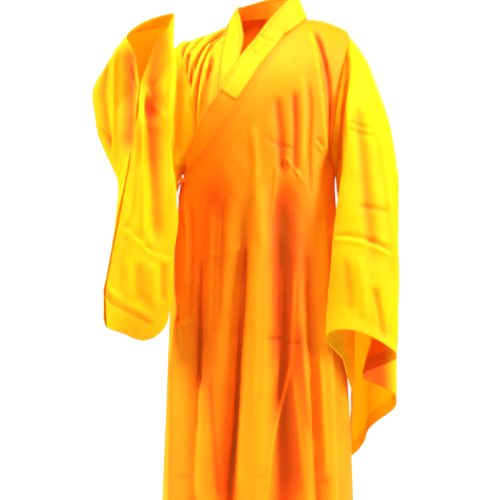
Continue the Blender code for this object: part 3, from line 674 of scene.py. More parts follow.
@dataclass
class BodyForm:
    """The form that the robe takes round the body, with its folds."""

    sections: tuple[Section, ...] = BODY
    folds: tuple[Fold, ...] = BODY_FOLDS
    roundness: float = 2.25
    armhole_top: float = 3.0
    armhole_foot: float = 6.0
    hem_row: float = 12.0
    spread: float = 0.62
    table: list = field(default_factory=list)

    def __post_init__(self) -> None:
        """Keep the sections as rows of numbers."""
        self.table = [section.row() for section in self.sections]

    def section(self, row: float) -> Section:
        """The section at a row."""
        return Section(*spline(self.table, np.array(row)))

    def plain(self, angle: Array, row: Array) -> tuple[Array, Array, Array]:
        """Body form with no folds.

        Args:
            angle: turn round the body, from the wearer's left by the front.
            row: place down the body, counted in sections.

        Returns:
            The points, and the section's middle and half width.
        """
        values = np.moveaxis(spline(self.table, row), -1, 0)
        left, right, front, back, z_left, z_right, z_front, z_back = values
        across = signed_power(np.cos(angle), 2.0 / self.roundness)
        forward = signed_power(np.sin(angle), 2.0 / self.roundness)
        middle, half = (left + right) / 2.0, (right - left) / 2.0
        depth = np.where(forward > 0.0, front, back)
        z_side = z_left + (z_right - z_left) * (1.0 + across) / 2.0
        z_middle = np.where(forward > 0.0, z_front, z_back)
        height = z_side + (z_middle - z_side) * np.sin(angle) ** 2
        points = np.stack([middle + across * half, -forward * depth, height], axis=-1)
        return points, middle, half

    def spot(self, angle: float, row: float) -> Array:
        """One point of the plain form."""
        return self.plain(np.array(angle), np.array(row))[0]

    def swell(self, angle: Array, row: Array) -> Array:
        """How far the folds stand out of the plain form at each point.

        Args:
            angle: turn round the body.
            row: place down the body, counted in sections.

        Returns:
            The height at each point.
        """
        points, middle, half = self.plain(angle, row)
        total = np.zeros_like(angle)
        for fold in self.folds:
            along = (points[..., 2] - fold.z_head) / (fold.z_foot - fold.z_head)
            x = fold.x_head + (fold.x_foot - fold.x_head) * np.clip(along, 0.0, 1.0)
            reach = np.clip((x - middle) / half, -0.999, 0.999)
            centre = fold.side.value * np.arccos(signed_power(reach, self.roundness / 2.0))
            away = np.angle(np.exp(1j * (angle - centre))) * half / fold.width
            grown = ease((points[..., 2] - fold.z_head) / (fold.z_full - fold.z_head))
            short = fold.z_foot > SKIRT_TOP
            ended = ease((points[..., 2] - fold.z_foot) / FOLD_FADE) if short else 1.0
            total = total + fold.depth * np.exp(-away ** 2) * grown * ended
        return total

    def folded(self, angle: Array, row: Array) -> Array:
        """Body form with its folds pushed straight out or in."""
        outward = np.stack([np.cos(angle), -np.sin(angle), np.zeros_like(angle)], axis=-1)
        return self.plain(angle, row)[0] + outward * self.swell(angle, row)[..., None]

    def point(self, angle: Array | float, row: Array | float, lift: Array | float = 0.0) -> Array:
        """Points on the body, raised along the surface's outward normal.

        Args:
            angle: turn round the body.
            row: place down the body, counted in sections.
            lift: how far they are raised.

        Returns:
            The points.
        """
        angle, row = np.broadcast_arrays(np.asarray(angle, float), np.asarray(row, float))
        step = 0.004
        round_way = self.folded(angle + step, row) - self.folded(angle - step, row)
        lower, upper = np.minimum(row + step, self.hem_row), np.maximum(row - step, 0.0)
        normal = np.cross(round_way, self.folded(angle, lower) - self.folded(angle, upper))
        normal /= np.linalg.norm(normal, axis=-1, keepdims=True)
        return self.folded(angle, row) + normal * np.asarray(lift)[..., None]

    def angle_at(self, x: float, row: float) -> float:
        """Angle on the front of a row at which the plain form has the given x.

        Args:
            x: the place across.
            row: the row.

        Returns:
            The angle.
        """
        section = self.section(row)
        middle, half = (section.left + section.right) / 2.0, (section.right - section.left) / 2.0
        reach = min(max((x - middle) / half, -0.999), 0.999)
        return math.acos(math.copysign(abs(reach) ** (self.roundness / 2.0), reach))

    def find(self, x: float, z: float) -> tuple[float, float]:
        """Angle and row of the point of the plain front that is seen at x and z.

        Args:
            x: the place across.
            z: the height.

        Returns:
            The angle and the row.
        """
        row = turning_place(0.0, self.hem_row,
                            lambda at: self.spot(self.angle_at(x, at), at)[2] > z)
        return self.angle_at(x, row), row

    def edge_angle(self, row: float, edge: "Edge") -> float:
        """Angle at which a row meets an edge that is given as x by height.

        Args:
            row: the row.
            edge: the edge.

        Returns:
            The angle.
        """
        def inside(angle: float) -> bool:
            """Whether the row has not yet come to the edge."""
            x, _, z = self.spot(angle, row)
            return x > edge.x(z)

        return turning_place(0.0, math.pi, inside)

    def row_at(self, angle: float, z: float) -> float:
        """Row that passes a height at an angle."""
        return turning_place(self.armhole_top, self.hem_row,
                             lambda row: self.spot(angle, row)[2] > z)

    def rows(self, shoulder: int, armhole: int, skirt: int) -> Array:
        """Rows from the neck to the hem, bunched at both ends of the armhole.

        Args:
            shoulder: how many faces lie above the armhole.
            armhole: how many lie beside it.
            skirt: how many lie below it.

        Returns:
            The rows.
        """
        turn = np.linspace(0.0, math.pi, armhole + 1)
        reach = self.armhole_foot - self.armhole_top
        return np.concatenate([
            np.linspace(0.0, self.armhole_top, shoulder + 1)[:-1],
            self.armhole_top + reach * (1.0 - np.cos(turn)) / 2.0,
            np.linspace(self.armhole_foot, self.hem_row, skirt + 1)[1:],
        ])

    def armhole(self, row: Array) -> Array:
        """Half of the angle that the armhole takes out of each row."""
        part = (row - self.armhole_top) / (self.armhole_foot - self.armhole_top)
        return self.spread * np.sqrt(np.clip(1.0 - (1.0 - 2.0 * part) ** 2, 0.0, 1.0))


@dataclass
class Edge:
    """A smooth edge on the body, as x at each height from the top down."""

    places: tuple[tuple[float, float], ...]
    table: Array = field(default_factory=lambda: np.zeros((2, 2)))

    def __post_init__(self) -> None:
        """Work the edge out finely once."""
        self.table = spline(self.places, np.linspace(0.0, len(self.places) - 1, 8 * len(self.places)))

    def x(self, z: float) -> float:
        """x of the edge at a height."""
        return float(np.interp(-z, -self.table[:, 0], self.table[:, 1]))


@dataclass
class Panels:
    """Back, wrapped-over front and wrapped-under front.

    slow is the height and spacing of the slow unevenness, and fine the finer one on top of it.
    No crease goes deeper than deepest, less lift_kept of the lift, so that no layer comes through.
    """

    form: BodyForm
    outer_edge: Edge = field(default_factory=lambda: Edge(OUTER_EDGE))
    inner_edge: Edge = field(default_factory=lambda: Edge(INNER_EDGE))
    thick: float = 0.0010
    wrap_lift: float = 0.010
    wrap_start: float = 0.35
    wrap_grow: float = 0.65
    least_inner_angle: float = 0.16
    vent_top: float = -1.10
    vent_open: float = 0.17
    vent_grow: float = 0.20
    deepest: float = 0.012
    lift_kept: float = 0.55
    swell_shade: float = 0.35
    seam_fade: float = 0.016
    neck_fade: float = 0.05
    slow: tuple[float, float] = (0.0009, 0.11)
    fine: Ripple = Ripple(0.0004, 0.037, 2.0)
    shoulder_steps: int = 34
    armhole_steps: int = 84
    skirt_steps: int = 122

    def lift(self, angle: Array) -> Array:
        """Lift of the wrapped-over front: none at its side seam, full where it overlaps."""
        return self.wrap_lift * ease((angle - self.wrap_start) / self.wrap_grow)

    def vent(self, rows: Array) -> Array:
        """Angle by which a front's side edge draws back below the top of the side vent."""
        heights = np.array([self.form.section(row).z_left for row in rows])
        return self.vent_open * ease((self.vent_top - heights) / self.vent_grow)

    def panel(self, name: str, first: Array, last: Array, columns: int, lifted: bool,
              creases: Sequence[Crease], front_edge_last: bool,
              seams: tuple[bool, ...]) -> bpy.types.Object:
        """One panel between two edges.

        Args:
            name: the piece's name.
            first: the first edge's angle at each row.
            last: the last edge's angle at each row.
            columns: how many faces lie across.
            lifted: whether the panel lies over the other front.
            creases: the creases in it.
            front_edge_last: whether its flat width is counted from the last edge.
            seams: its sewn sides, each True for the last edge and False for the first.

        Returns:
            The panel.
        """
        rows = self.form.rows(self.shoulder_steps, self.armhole_steps, self.skirt_steps)
        share = np.linspace(0.0, 1.0, columns + 1)[:, None]
        angle = first[None, :] + (last - first)[None, :] * share
        row = np.broadcast_to(rows, angle.shape)
        lift = self.lift(angle) if lifted else np.zeros_like(angle)
        points = self.form.point(angle, row, lift)
        normals = grid_normals(points)
        uv = np.stack([lengths(points, 0, front_edge_last), lengths(points, 1, True)], axis=-1)
        sewn = np.ones(points.shape[:2])
        for seam_last in seams:
            sewn = sewn * ease(lengths(points, 0, seam_last) / self.seam_fade)
        creased = crease_height(points, normals, creases) * sewn
        uneven = Ripple(*self.slow, len(name)).at(points) + self.fine.at(points)
        hang = ease(lengths(points, 1) / self.neck_fade) * sewn
        pushed = np.maximum(creased, self.lift_kept * lift - self.deepest)
        points = points + normals * ((pushed + uneven * hang)[..., None])
        # How far each point lies in a trough or stands on a ridge, which the material turns into
        # painted shade and painted light
        deep = (creased + self.swell_shade * self.form.swell(angle, row)) / FULL_SHADE_DEPTH
        return cloth_mesh(name, points, uv, np.clip(deep, -1.0, 1.0), self.thick)

    def build(self) -> dict[str, bpy.types.Object]:
        """Build the three panels.

        Returns:
            Each panel by its node's name.
        """
        rows = self.form.rows(self.shoulder_steps, self.armhole_steps, self.skirt_steps)
        side = self.form.armhole(rows)
        vent = self.vent(rows)
        outer = np.array([self.form.edge_angle(row, self.outer_edge) for row in rows])
        inner = np.array([self.form.edge_angle(row, self.inner_edge) for row in rows])
        inner = np.minimum(inner, math.pi - self.least_inner_angle)
        return {
            "back_panel": self.panel("robe_back", side - math.pi, -side, 168, False,
                                     BACK_CREASES, False, (False, True)),
            "front_outer": self.panel("robe_front_over", side + vent, outer, 188, True,
                                      OUTER_CREASES, True, (False,)),
            "front_inner": self.panel("robe_front_under", inner, math.pi - side - vent, 104,
                                      False, INNER_CREASES, False, (True,)),
        }


@dataclass
class Sleeve:
    """A wide sleeve from its armhole to its mouth."""

    name: str
    form: BodyForm
    rings: tuple[Ring, ...]
    folds: tuple[SleeveFold, ...]
    creases: tuple[Crease, ...]
    pull: float
    left: bool
    pull_reach: float = 0.045
    thick: float = 0.0010
    round_steps: int = 208
    long_steps: int = 176
    levels: tuple[float, ...] = (0.0, 0.22, 0.50, 0.86, 1.0)
    foot_round: float = 0.06
    seam_spread: float = 0.006
    seam_depth: float = 0.0006
    swell_shade: float = 0.4
    seam_fade: float = 0.05
    slow: tuple[float, float] = (0.0011, 0.12)
    fine: Ripple = Ripple(0.0004, 0.04, 5.0)

    def half(self, widths: Array, place: Array, crown: Array) -> Array:
        """Half width of a layer at each height, rounded off at the ring's top and foot.

        Args:
            widths: the layer's half widths at its levels.
            place: heights, from 0 at the ring's top to 1 at its foot.
            crown: the share of the height over which the top is rounded off.

        Returns:
            The half widths.
        """
        shares = [np.interp(place, self.levels, row) for row in np.eye(len(self.levels))]
        width = np.sum(np.stack(shares, axis=1) * widths, axis=1)
        top = np.sqrt(1.0 - (1.0 - np.clip(place / crown, 0.0, 1.0)) ** 2)
        foot = np.sqrt(1.0 - (1.0 - np.clip((1.0 - place) / self.foot_round, 0.0, 1.0)) ** 2)
        return width * top * foot

    def swell(self, layer: Layer, place: Array, along: Array) -> Array:
        """How far a layer's folds stand out at each height of a station.

        Args:
            layer: the layer.
            place: heights, from 0 at the top to 1 at the foot.
            along: places from the armhole, 0, to the mouth, 1.

        Returns:
            The height of the folds.
        """
        total = np.zeros_like(place)
        for fold in self.folds:
            if fold.layer is layer:
                grown = ease((along - fold.start) / (fold.full - fold.start))
                left = 1.0 - ease((along - fold.full) / (fold.end - fold.full))
                total += fold.depth * grown * left * np.exp(-((place - fold.place) / fold.width) ** 2)
        return total

    def ring(self, along: float, turn: Array) -> tuple[Array, Array]:
        """Points round the sleeve.

        Args:
            along: the place from the armhole, 0, to the mouth, 1.
            turn: the turns round the ring, from its top by its outer layer.

        Returns:
            The points, and how far the folds stand out there.
        """
        place = (1.0 - np.cos(turn)) / 2.0
        drawn = along * (1.0 - self.pull * np.exp(-(place / self.pull_reach) ** 2))
        row = spline([ring.row() for ring in self.rings], drawn * (len(self.rings) - 1))
        top, foot, across, bow = row[:, 0:3], row[:, 3:6], row[:, 6:9], row[:, 9:12]
        outside = np.sin(turn) >= 0.0
        swell = np.where(outside, self.swell(Layer.OUTER, place, drawn),
                         self.swell(Layer.INNER, place, drawn))
        half = np.where(outside, self.half(row[:, 12:17], place, row[:, 22]),
                        self.half(row[:, 17:22], place, row[:, 22]))
        shift = (half + swell) * np.where(outside, 1.0, -1.0)
        line = top + (foot - top) * place[:, None] + bow * (4.0 * place * (1.0 - place))[:, None]
        ahead = across / np.linalg.norm(across, axis=1, keepdims=True)
        return line + shift[:, None] * ahead, swell

    def seam(self, turn: Array) -> Array:
        """The armhole's edge on the body, just under the panels' edges.

        Args:
            turn: the turns round the ring, from its top.

        Returns:
            The points.
        """
        place = (1.0 - np.cos(turn)) / 2.0
        reach = self.form.armhole_foot - self.form.armhole_top
        row = self.form.armhole_top + reach * place
        spread = (self.form.spread + self.seam_spread) * np.sin(turn)
        angle = -spread if self.left else -math.pi + spread
        return self.form.point(angle, row, -self.seam_depth)

    def build(self) -> bpy.types.Object:
        """Build the sleeve.

        Returns:
            The sleeve's object.
        """
        turn = np.linspace(0.0, 2.0 * math.pi, self.round_steps + 1)
        seam = self.seam(turn)
        stations, swells = [], []
        for along in np.linspace(0.0, 1.0, self.long_steps + 1):
            ring, swell = self.ring(along, turn)
            stations.append(seam + (ring - seam) * ease(along * (len(self.rings) - 1)))
            swells.append(swell)
        points, deep = np.stack(stations, axis=1), np.stack(swells, axis=1)
        points[-1], deep[-1] = points[0], deep[0]
        if self.left:
            points, deep = points[::-1], deep[::-1]
        normals = grid_normals(points, ring=True)
        uv = np.stack([lengths(points, 0), lengths(points, 1, True)], axis=-1)
        creased = crease_height(points, normals, self.creases)
        uneven = Ripple(*self.slow, len(self.name)).at(points) + self.fine.at(points)
        free = ease(lengths(points, 1) / self.seam_fade)
        points = points + normals * ((creased + uneven) * free)[..., None]
        points[-1] = points[0]
        # How far each point lies in a trough or stands on a ridge, which the material turns into
        # painted shade and painted light
        deep = np.clip((creased + self.swell_shade * deep) / FULL_SHADE_DEPTH, -1.0, 1.0)
        return cloth_mesh(self.name, points, uv, deep, self.thick, ring=True)


@dataclass
class CollarBand:
    """The band round the neck and down the front, and the guard on its neck part."""

    form: BodyForm
    panels: Panels
    places: tuple[Collar, ...] = COLLAR
    under_lift: float = 0.0016
    band_thick: float = 0.0022
    guard_thick: float = 0.0012
    guard_start: float = 2.0
    guard_end: float = 15.9
    band_lift: float = 0.0008
    band_shares: tuple[float, float] = (-0.03, 1.0)
    guard_lift: float = 0.0030
    guard_shares: tuple[float, float] = (0.06, 0.955)
    seam_lift: float = 0.0006
    crown: float = 0.0011
    fine: Ripple = Ripple(0.0003, 0.03, 7.0)
    long_steps: int = 330
    across_steps: int = 16

    def seam(self, stretch: Stretch, ats: Array) -> Array:
        """Points of the band's seam edge on one stretch.

        Args:
            stretch: what the edge follows there.
            ats: heights on a front's edge, or angles round the neck.

        Returns:
            The points.
        """
        if stretch is Stretch.NECK:
            lift = self.seam_lift + self.panels.lift(ats)
            return self.form.point(ats, 0.0, lift) + np.array((0.0, 0.0, self.seam_lift))
        under = stretch is Stretch.UNDER
        edge = self.panels.inner_edge if under else self.panels.outer_edge
        lift = self.under_lift if under else self.panels.wrap_lift
        return np.array([self.form.point(*self.form.find(edge.x(z), z), lift) for z in ats])

    def free(self, place: Collar) -> Array:
        """Point of the band's free edge, on the chest or standing off it.

        Args:
            place: a row of the band's table.

        Returns:
            The point.
        """
        if place.y is None:
            under = place.stretch is Stretch.UNDER
            lift = self.under_lift if under else self.panels.wrap_lift
            return self.form.point(*self.form.find(place.x, place.z), lift)
        return np.array((place.x, place.y, place.z))

    def edges(self, ats: Array) -> tuple[Array, Array]:
        """Seam edge and free edge of the band.

        Args:
            ats: places along the band, counted in rows of its table.

        Returns:
            The points of both edges.
        """
        seam, row_of = [], []
        for stretch in Stretch:
            numbers = [n for n, place in enumerate(self.places) if place.stretch is stretch]
            fine = np.linspace(numbers[0], numbers[-1], 12 * len(numbers))
            along = np.interp(fine, numbers, [self.places[n].at for n in numbers])
            seam.append(self.seam(stretch, along))
            row_of.append(fine)
        seam_points, rows = np.concatenate(seam), np.concatenate(row_of)
        free_points = np.array([self.free(place) for place in self.places])
        at_seam = np.stack([np.interp(ats, rows, seam_points[:, axis]) for axis in range(3)], axis=1)
        return at_seam, spline(free_points, ats)

    def strip(self, name: str, first: float, last: float, lift: float,
              shares: tuple[float, float], thick: float) -> bpy.types.Object:
        """A strip along the band.

        Args:
            name: the piece's name.
            first: the row that it starts at.
            last: the row that it ends at.
            lift: how far it lies off the band's own surface.
            shares: its edge by the seam and its free edge, as shares of the band's width.
            thick: its wall.

        Returns:
            The strip.
        """
        steps = round(self.long_steps * (last - first) / (len(self.places) - 1))
        seam, free = self.edges(np.linspace(first, last, steps + 1))
        share = np.linspace(*shares, self.across_steps + 1)
        points = seam[None] + (free - seam)[None] * share[:, None, None]
        across = np.broadcast_to((free - seam)[None], points.shape)
        normals = np.cross(across, np.gradient(points, axis=1))
        normals /= np.linalg.norm(normals, axis=-1, keepdims=True)
        edge = np.linspace(0.0, 1.0, self.across_steps + 1)[:, None]
        crown = self.crown * np.sqrt(np.sin(math.pi * np.clip(edge, 0.0, 1.0)))
        uv = np.stack([lengths(points, 0, True), lengths(points, 1)], axis=-1)
        creased = crease_height(points, normals, COLLAR_CREASES)
        height = lift + crown + creased + self.fine.at(points)
        points = points + normals * height[..., None]
        # The creases' depth is kept so that the material paints shade into their troughs
        return cloth_mesh(name, points, uv, np.clip(creased / FULL_COLLAR_SHADE_DEPTH, -1.0, 1.0), thick)

    def build(self) -> dict[str, bpy.types.Object]:
        """Build the band and its guard.

        Returns:
            Each piece by its node's name.
        """
        last = len(self.places) - 1.0
        return {
            "collar_band": self.strip("collar_band_cloth", 0.0, last, self.band_lift,
                                      self.band_shares, self.band_thick),
            "collar_guard": self.strip("collar_guard_cloth", self.guard_start, self.guard_end,
                                       self.guard_lift, self.guard_shares, self.guard_thick),
        }


@dataclass(frozen=True)
class TapeRun:
    """The run of a tie tape over the body: turns from the wrapped edge, heights and lifts."""

    node: str
    turns: tuple[float, float]
    heights: tuple[float, float]
    lifts: tuple[float, float]


@dataclass
class SideTie:
    """The tie under the wearer's right arm: a knot and a tape each way."""

    form: BodyForm
    panels: Panels
    knot_height: float = -0.412
    knot_turn: float = -0.110
    knot_lift: float = 0.0162
    knot_size: tuple[float, float, float] = (0.0055, 0.0090, 0.0100)
    tape_width: float = 0.0092
    tape_thick: float = 0.0010
    tape_steps: int = 48
    tape_across_steps: int = 6
    tape_ripple: Ripple = Ripple(0.0004, 0.02, 3.0)
    runs: tuple[TapeRun, ...] = (
        TapeRun("tie_tape_front", (-0.330, -0.140), (-0.406, -0.412), (0.0118, 0.0165)),
        TapeRun("tie_tape_back", (-0.080, 0.760), (-0.413, -0.485), (0.0165, 0.0022)),
    )

    def edge(self) -> float:
        """Angle of the wrapped edge at the knot's height."""
        row = self.form.row_at(math.pi, self.knot_height)
        return self.form.edge_angle(row, self.panels.outer_edge)

    def knot(self) -> bpy.types.Object:
        """Build the knot: a small ball wound round by its tape.

        Returns:
            The knot.
        """
        angle = self.edge() + self.knot_turn
        row = self.form.row_at(angle, self.knot_height)
        centre = self.form.point(angle, row, self.knot_lift)
        shape = bmesh.new()
        bmesh.ops.create_icosphere(shape, subdivisions=4, radius=1.0)
        for vert in shape.verts:
            turn = math.atan2(vert.co.z + 0.35 * vert.co.y, vert.co.x)
            wound = 0.10 * math.sin(5.0 * turn + 3.0 * vert.co.y) - 0.05 * math.cos(9.0 * vert.co.z)
            vert.co *= 1.0 + wound
        bmesh.ops.scale(shape, vec=self.knot_size, verts=shape.verts)
        bmesh.ops.translate(shape, vec=centre, verts=shape.verts)
        mesh = bpy.data.meshes.new("side_tie_knot")
        shape.to_mesh(mesh)
        shape.free()
        mesh.shade_smooth()
        knot = bpy.data.objects.new("side_tie_knot", mesh)
        bpy.context.scene.collection.objects.link(knot)
        return knot

    def tape(self, run: TapeRun) -> bpy.types.Object:
        """Build one tape.

        Args:
            run: where the tape goes.

        Returns:
            The tape.
        """
        share = np.linspace(0.0, 1.0, self.tape_steps + 1)
        angles = self.edge() + np.interp(share, (0.0, 1.0), run.turns)
        heights = np.interp(share, (0.0, 1.0), run.heights)
        rows = np.array([self.form.row_at(a, z) for a, z in zip(angles, heights)])
        middle = self.form.point(angles, rows, np.interp(share, (0.0, 1.0), run.lifts))
        across = np.linspace(0.5, -0.5, self.tape_across_steps + 1)[None, :, None] * self.tape_width
        points = middle[:, None, :] + across * np.array((0.0, 0.0, 1.0))
        uv = np.stack([lengths(points, 0), lengths(points, 1)], axis=-1)
        points = points + grid_normals(points) * self.tape_ripple.at(points)[..., None]
        name = "side_" + run.node
        return cloth_mesh(name, points, uv, np.zeros(points.shape[:2]), self.tape_thick)

    def build(self) -> dict[str, bpy.types.Object]:
        """Build the knot and both tapes.

        Returns:
            Each piece by its node's name.
        """
        pieces = {"tie_knot": self.knot()}
        for run in self.runs:
            pieces[run.node] = self.tape(run)
        return pieces


class Sum:
    """A shader socket that takes part in sums."""

    def __init__(self, graph: "Graph", socket: bpy.types.NodeSocket) -> None:
        """Wrap a socket of a graph."""
        self.graph = graph
        self.socket = socket

    def math(self, operation: str, *others: "Sum | float") -> "Sum":
        """A Math node on this value and others."""
        inputs = dict(enumerate((self, *others)))
        return self.graph.node("ShaderNodeMath", {"operation": operation}, inputs)

    def __add__(self, other: "Sum | float") -> "Sum":
        """Sum."""
        return self.math("ADD", other)

    def __radd__(self, other: float) -> "Sum":
        """Sum, reflected."""
        return self.math("ADD", other)

    def __sub__(self, other: "Sum | float") -> "Sum":
        """Difference."""
        return self.math("SUBTRACT", other)

    def __rsub__(self, other: float) -> "Sum":
        """Difference, reflected."""
        return self.math("MULTIPLY", -1.0).math("ADD", other)

    def __mul__(self, other: "Sum | float") -> "Sum":
        """Product."""
        return self.math("MULTIPLY", other)

    def __rmul__(self, other: float) -> "Sum":
        """Product, reflected."""
        return self.math("MULTIPLY", other)

    def __truediv__(self, other: "Sum | float") -> "Sum":
        """Quotient."""
        return self.math("DIVIDE", other)

    def held(self) -> "Sum":
        """The value, kept between 0 and 1."""
        return self.math("MAXIMUM", 0.0).math("MINIMUM", 1.0)

    def below(self, limit: float, soft: float) -> "Sum":
        """Mask of where the value is below a limit, with a soft edge.

        Args:
            limit: the limit.
            soft: half of the soft edge's width.

        Returns:
            The mask.
        """
        settings = {"interpolation_type": "SMOOTHSTEP"}
        ends = {1: limit - soft, 2: limit + soft, 3: 1.0, 4: 0.0, 0: self}
        return self.graph.node("ShaderNodeMapRange", settings, ends)


class Graph:
    """The nodes of one material, or of the world."""

    def __init__(self, owner: bpy.types.Material | bpy.types.World) -> None:
        """Start with no nodes.

        Args:
            owner: the material, or the world, that they are for.
        """
        owner.use_nodes = True
        self.tree = owner.node_tree
        self.tree.nodes.clear()

    def node(self, kind: str, settings: dict | None = None, inputs: dict | None = None,
             output: int | str = 0) -> Sum:
        """Any node.

        Args:
            kind: the node's type.
            settings: its settings, set first.
            inputs: the value or link of each socket, by number or name.
            output: the socket that is handed back.

        Returns:
            The output socket.
        """
        made = self.tree.nodes.new(kind)
        for name, value in (settings or {}).items():
            setattr(made, name, value)
        for name, value in (inputs or {}).items():
            if isinstance(value, Sum):
                self.tree.links.new(value.socket, made.inputs[name])
            else:
                made.inputs[name].default_value = value
        return Sum(self, made.outputs[output]) if len(made.outputs) else Sum(self, None)

    def mix(self, factor: Sum | float, first: Sum | tuple, second: Sum | tuple) -> Sum:
        """A mix of two colours."""
        return self.node("ShaderNodeMix", {"data_type": "RGBA"}, {0: factor, 6: first, 7: second}, 2)


# Painted brown shadow for the deepest troughs of the front; the slub and stitch browns are the
# cloth's own
TROUGH_SHADOW_BROWN = (0.36, 0.075, 0.0, 1.0)
SLUB_BROWN = (0.55, 0.16, 0.0, 1.0)
STITCH_BROWN = (0.35, 0.07, 0.0, 1.0)
SHEEN_GOLD = (1.0, 0.75, 0.2, 1.0)


@dataclass(frozen=True)
class ClothFinish:
    """Thin plain-woven cloth with rows of stitches.

    face and deep are the colours of ridges and troughs, so the fold attribute's depth paints light
    onto ridges and shade into troughs; deep also tints turned hems. passed is the colour of light let
    through, and through its share. flat is how much painted shade level cloth has, and the trough
    shadow share how far the deepest troughs take a painted brown shadow. Each shade is the share of a
    tint, and relief the height of threads, stitches and hems.
    """

    name: str
    slot: str
    face: tuple[float, float, float, float]
    deep: tuple[float, float, float, float]
    through: float
    passed: tuple[float, float, float, float] = (1.0, 0.38, 0.0, 1.0)
    flat: float = 0.22
    trough_shadow: float = 0.0
    roughness: float = 0.60
    thread: float = 0.0009
    stitches: tuple[Stitch, ...] = ()
    cloud_scale: float = 7.0
    slub_scale: float = 260.0
    fold_shade: float = -0.95
    cloud_shade: float = 0.5
    slub_shade: float = 0.35
    weave_shade: float = 0.05
    trough_shadow_start: float = 0.45
    trough_shadow_gain: float = 1.5
    stitch_dash: float = 0.68
    dash_soft: float = 0.06
    hem_soft: float = 0.0008
    stitch_shade: float = 0.55
    hem_shade: float = 0.16
    relief: float = 0.0006
    relief_strength: float = 0.55

    def make(self) -> bpy.types.Material:
        """Make the material.

        Returns:
            The material.
        """
        material = bpy.data.materials.new(self.name)
        graph = Graph(material)
        cut = graph.node("ShaderNodeUVMap", {"uv_map": "cloth"})
        ways = {axis: graph.node("ShaderNodeSeparateXYZ", None, {0: cut}, axis) for axis in (0, 1)}
        place = graph.node("ShaderNodeTexCoord", None, None, "Object")
        fold = graph.node("ShaderNodeAttribute", {"attribute_name": "fold"}, None, "Fac")
        clouds = graph.node("ShaderNodeTexNoise", None,
                            {"Vector": place, "Scale": self.cloud_scale, "Detail": 3.0})
        slubs = graph.node("ShaderNodeTexNoise", None,
                           {"Vector": place, "Scale": self.slub_scale, "Detail": 2.0,
                            "Roughness": 0.7})
        rate = 2.0 * math.pi / self.thread
        warp, weft = (ways[0] * rate).math("SINE"), (ways[1] * rate).math("SINE")
        weave = warp * weft
        marks, turned = None, None
        for stitch in self.stitches:
            line = (ways[stitch.axis] - stitch.at).math("ABSOLUTE").below(stitch.width, stitch.width)
            part = (ways[1 - stitch.axis] / stitch.pitch).math("FRACT")
            dash = part.below(self.stitch_dash, self.dash_soft)
            hem = ways[stitch.axis].below(stitch.at, self.hem_soft)
            marks = line * dash if marks is None else marks.math("MAXIMUM", line * dash)
            turned = hem if turned is None else turned.math("MAXIMUM", hem)
        # Painted shade: the deep colour is mixed in by how far a point lies in a trough, less on
        # ridges, plus the level cloth's share and random clouds
        shade = (fold * self.fold_shade + (clouds - 0.5) * self.cloud_shade + self.flat).held()
        colour = graph.mix(shade, self.face, self.deep)
        # Painted brown shadow in the deepest troughs
        shadow = ((fold * -1.0 - self.trough_shadow_start) * (self.trough_shadow_gain * self.trough_shadow)).held()
        colour = graph.mix(shadow, colour, TROUGH_SHADOW_BROWN)
        threads = (slubs - 0.45) * self.slub_shade + weave * self.weave_shade
        colour = graph.mix(threads, colour, SLUB_BROWN)
        height = weave * 0.10 + slubs * 0.35 + clouds * 0.4
        factor = clouds * 0.25 + (self.through - 0.125)
        if marks is not None and turned is not None:
            colour = graph.mix(marks * self.stitch_shade, colour, STITCH_BROWN)
            colour = graph.mix(turned * self.hem_shade, colour, self.deep)
            height = height + turned * 1.6 - marks * 1.2
            factor = factor * (1.0 - turned * 0.45)
        rough = slubs * 0.2 + (self.roughness - 0.1)
        bump = graph.node("ShaderNodeBump", None,
                          {"Strength": self.relief_strength, "Distance": self.relief,
                           "Height": height})
        cloth = graph.node("ShaderNodeBsdfPrincipled", None, {
            "Base Color": colour, "Roughness": rough, "Normal": bump,
            "Specular IOR Level": 0.10, "Sheen Weight": 0.03, "Sheen Roughness": 0.5,
            "Sheen Tint": SHEEN_GOLD,
        })
        light = graph.node("ShaderNodeBsdfTranslucent", None, {"Color": self.passed, "Normal": bump})
        both = graph.node("ShaderNodeMixShader", None, {0: factor, 1: cloth, 2: light})
        graph.node("ShaderNodeOutputMaterial", None, {"Surface": both})
        return material


@dataclass(frozen=True)
class Lamp:
    """A soft square light: where it hangs, what it faces, its power in watts and its side."""

    name: str
    place: tuple[float, float, float]
    aim: tuple[float, float, float]
    power: float
    size: float


LAMPS = (
    Lamp("top light", (0.1, -0.75, 1.15), (0.0, 0.0, -0.1), 42.0, 0.6),
    Lamp("left light", (-2.3, -0.9, 0.7), (-0.3, -0.2, -0.4), 125.0, 1.1),
    Lamp("right light", (2.3, -0.9, 0.6), (0.3, 0.0, -0.5), 130.0, 0.6),
    Lamp("back light", (0.5, 2.6, 0.6), (0.0, 0.0, -0.5), 260.0, 2.0),
)


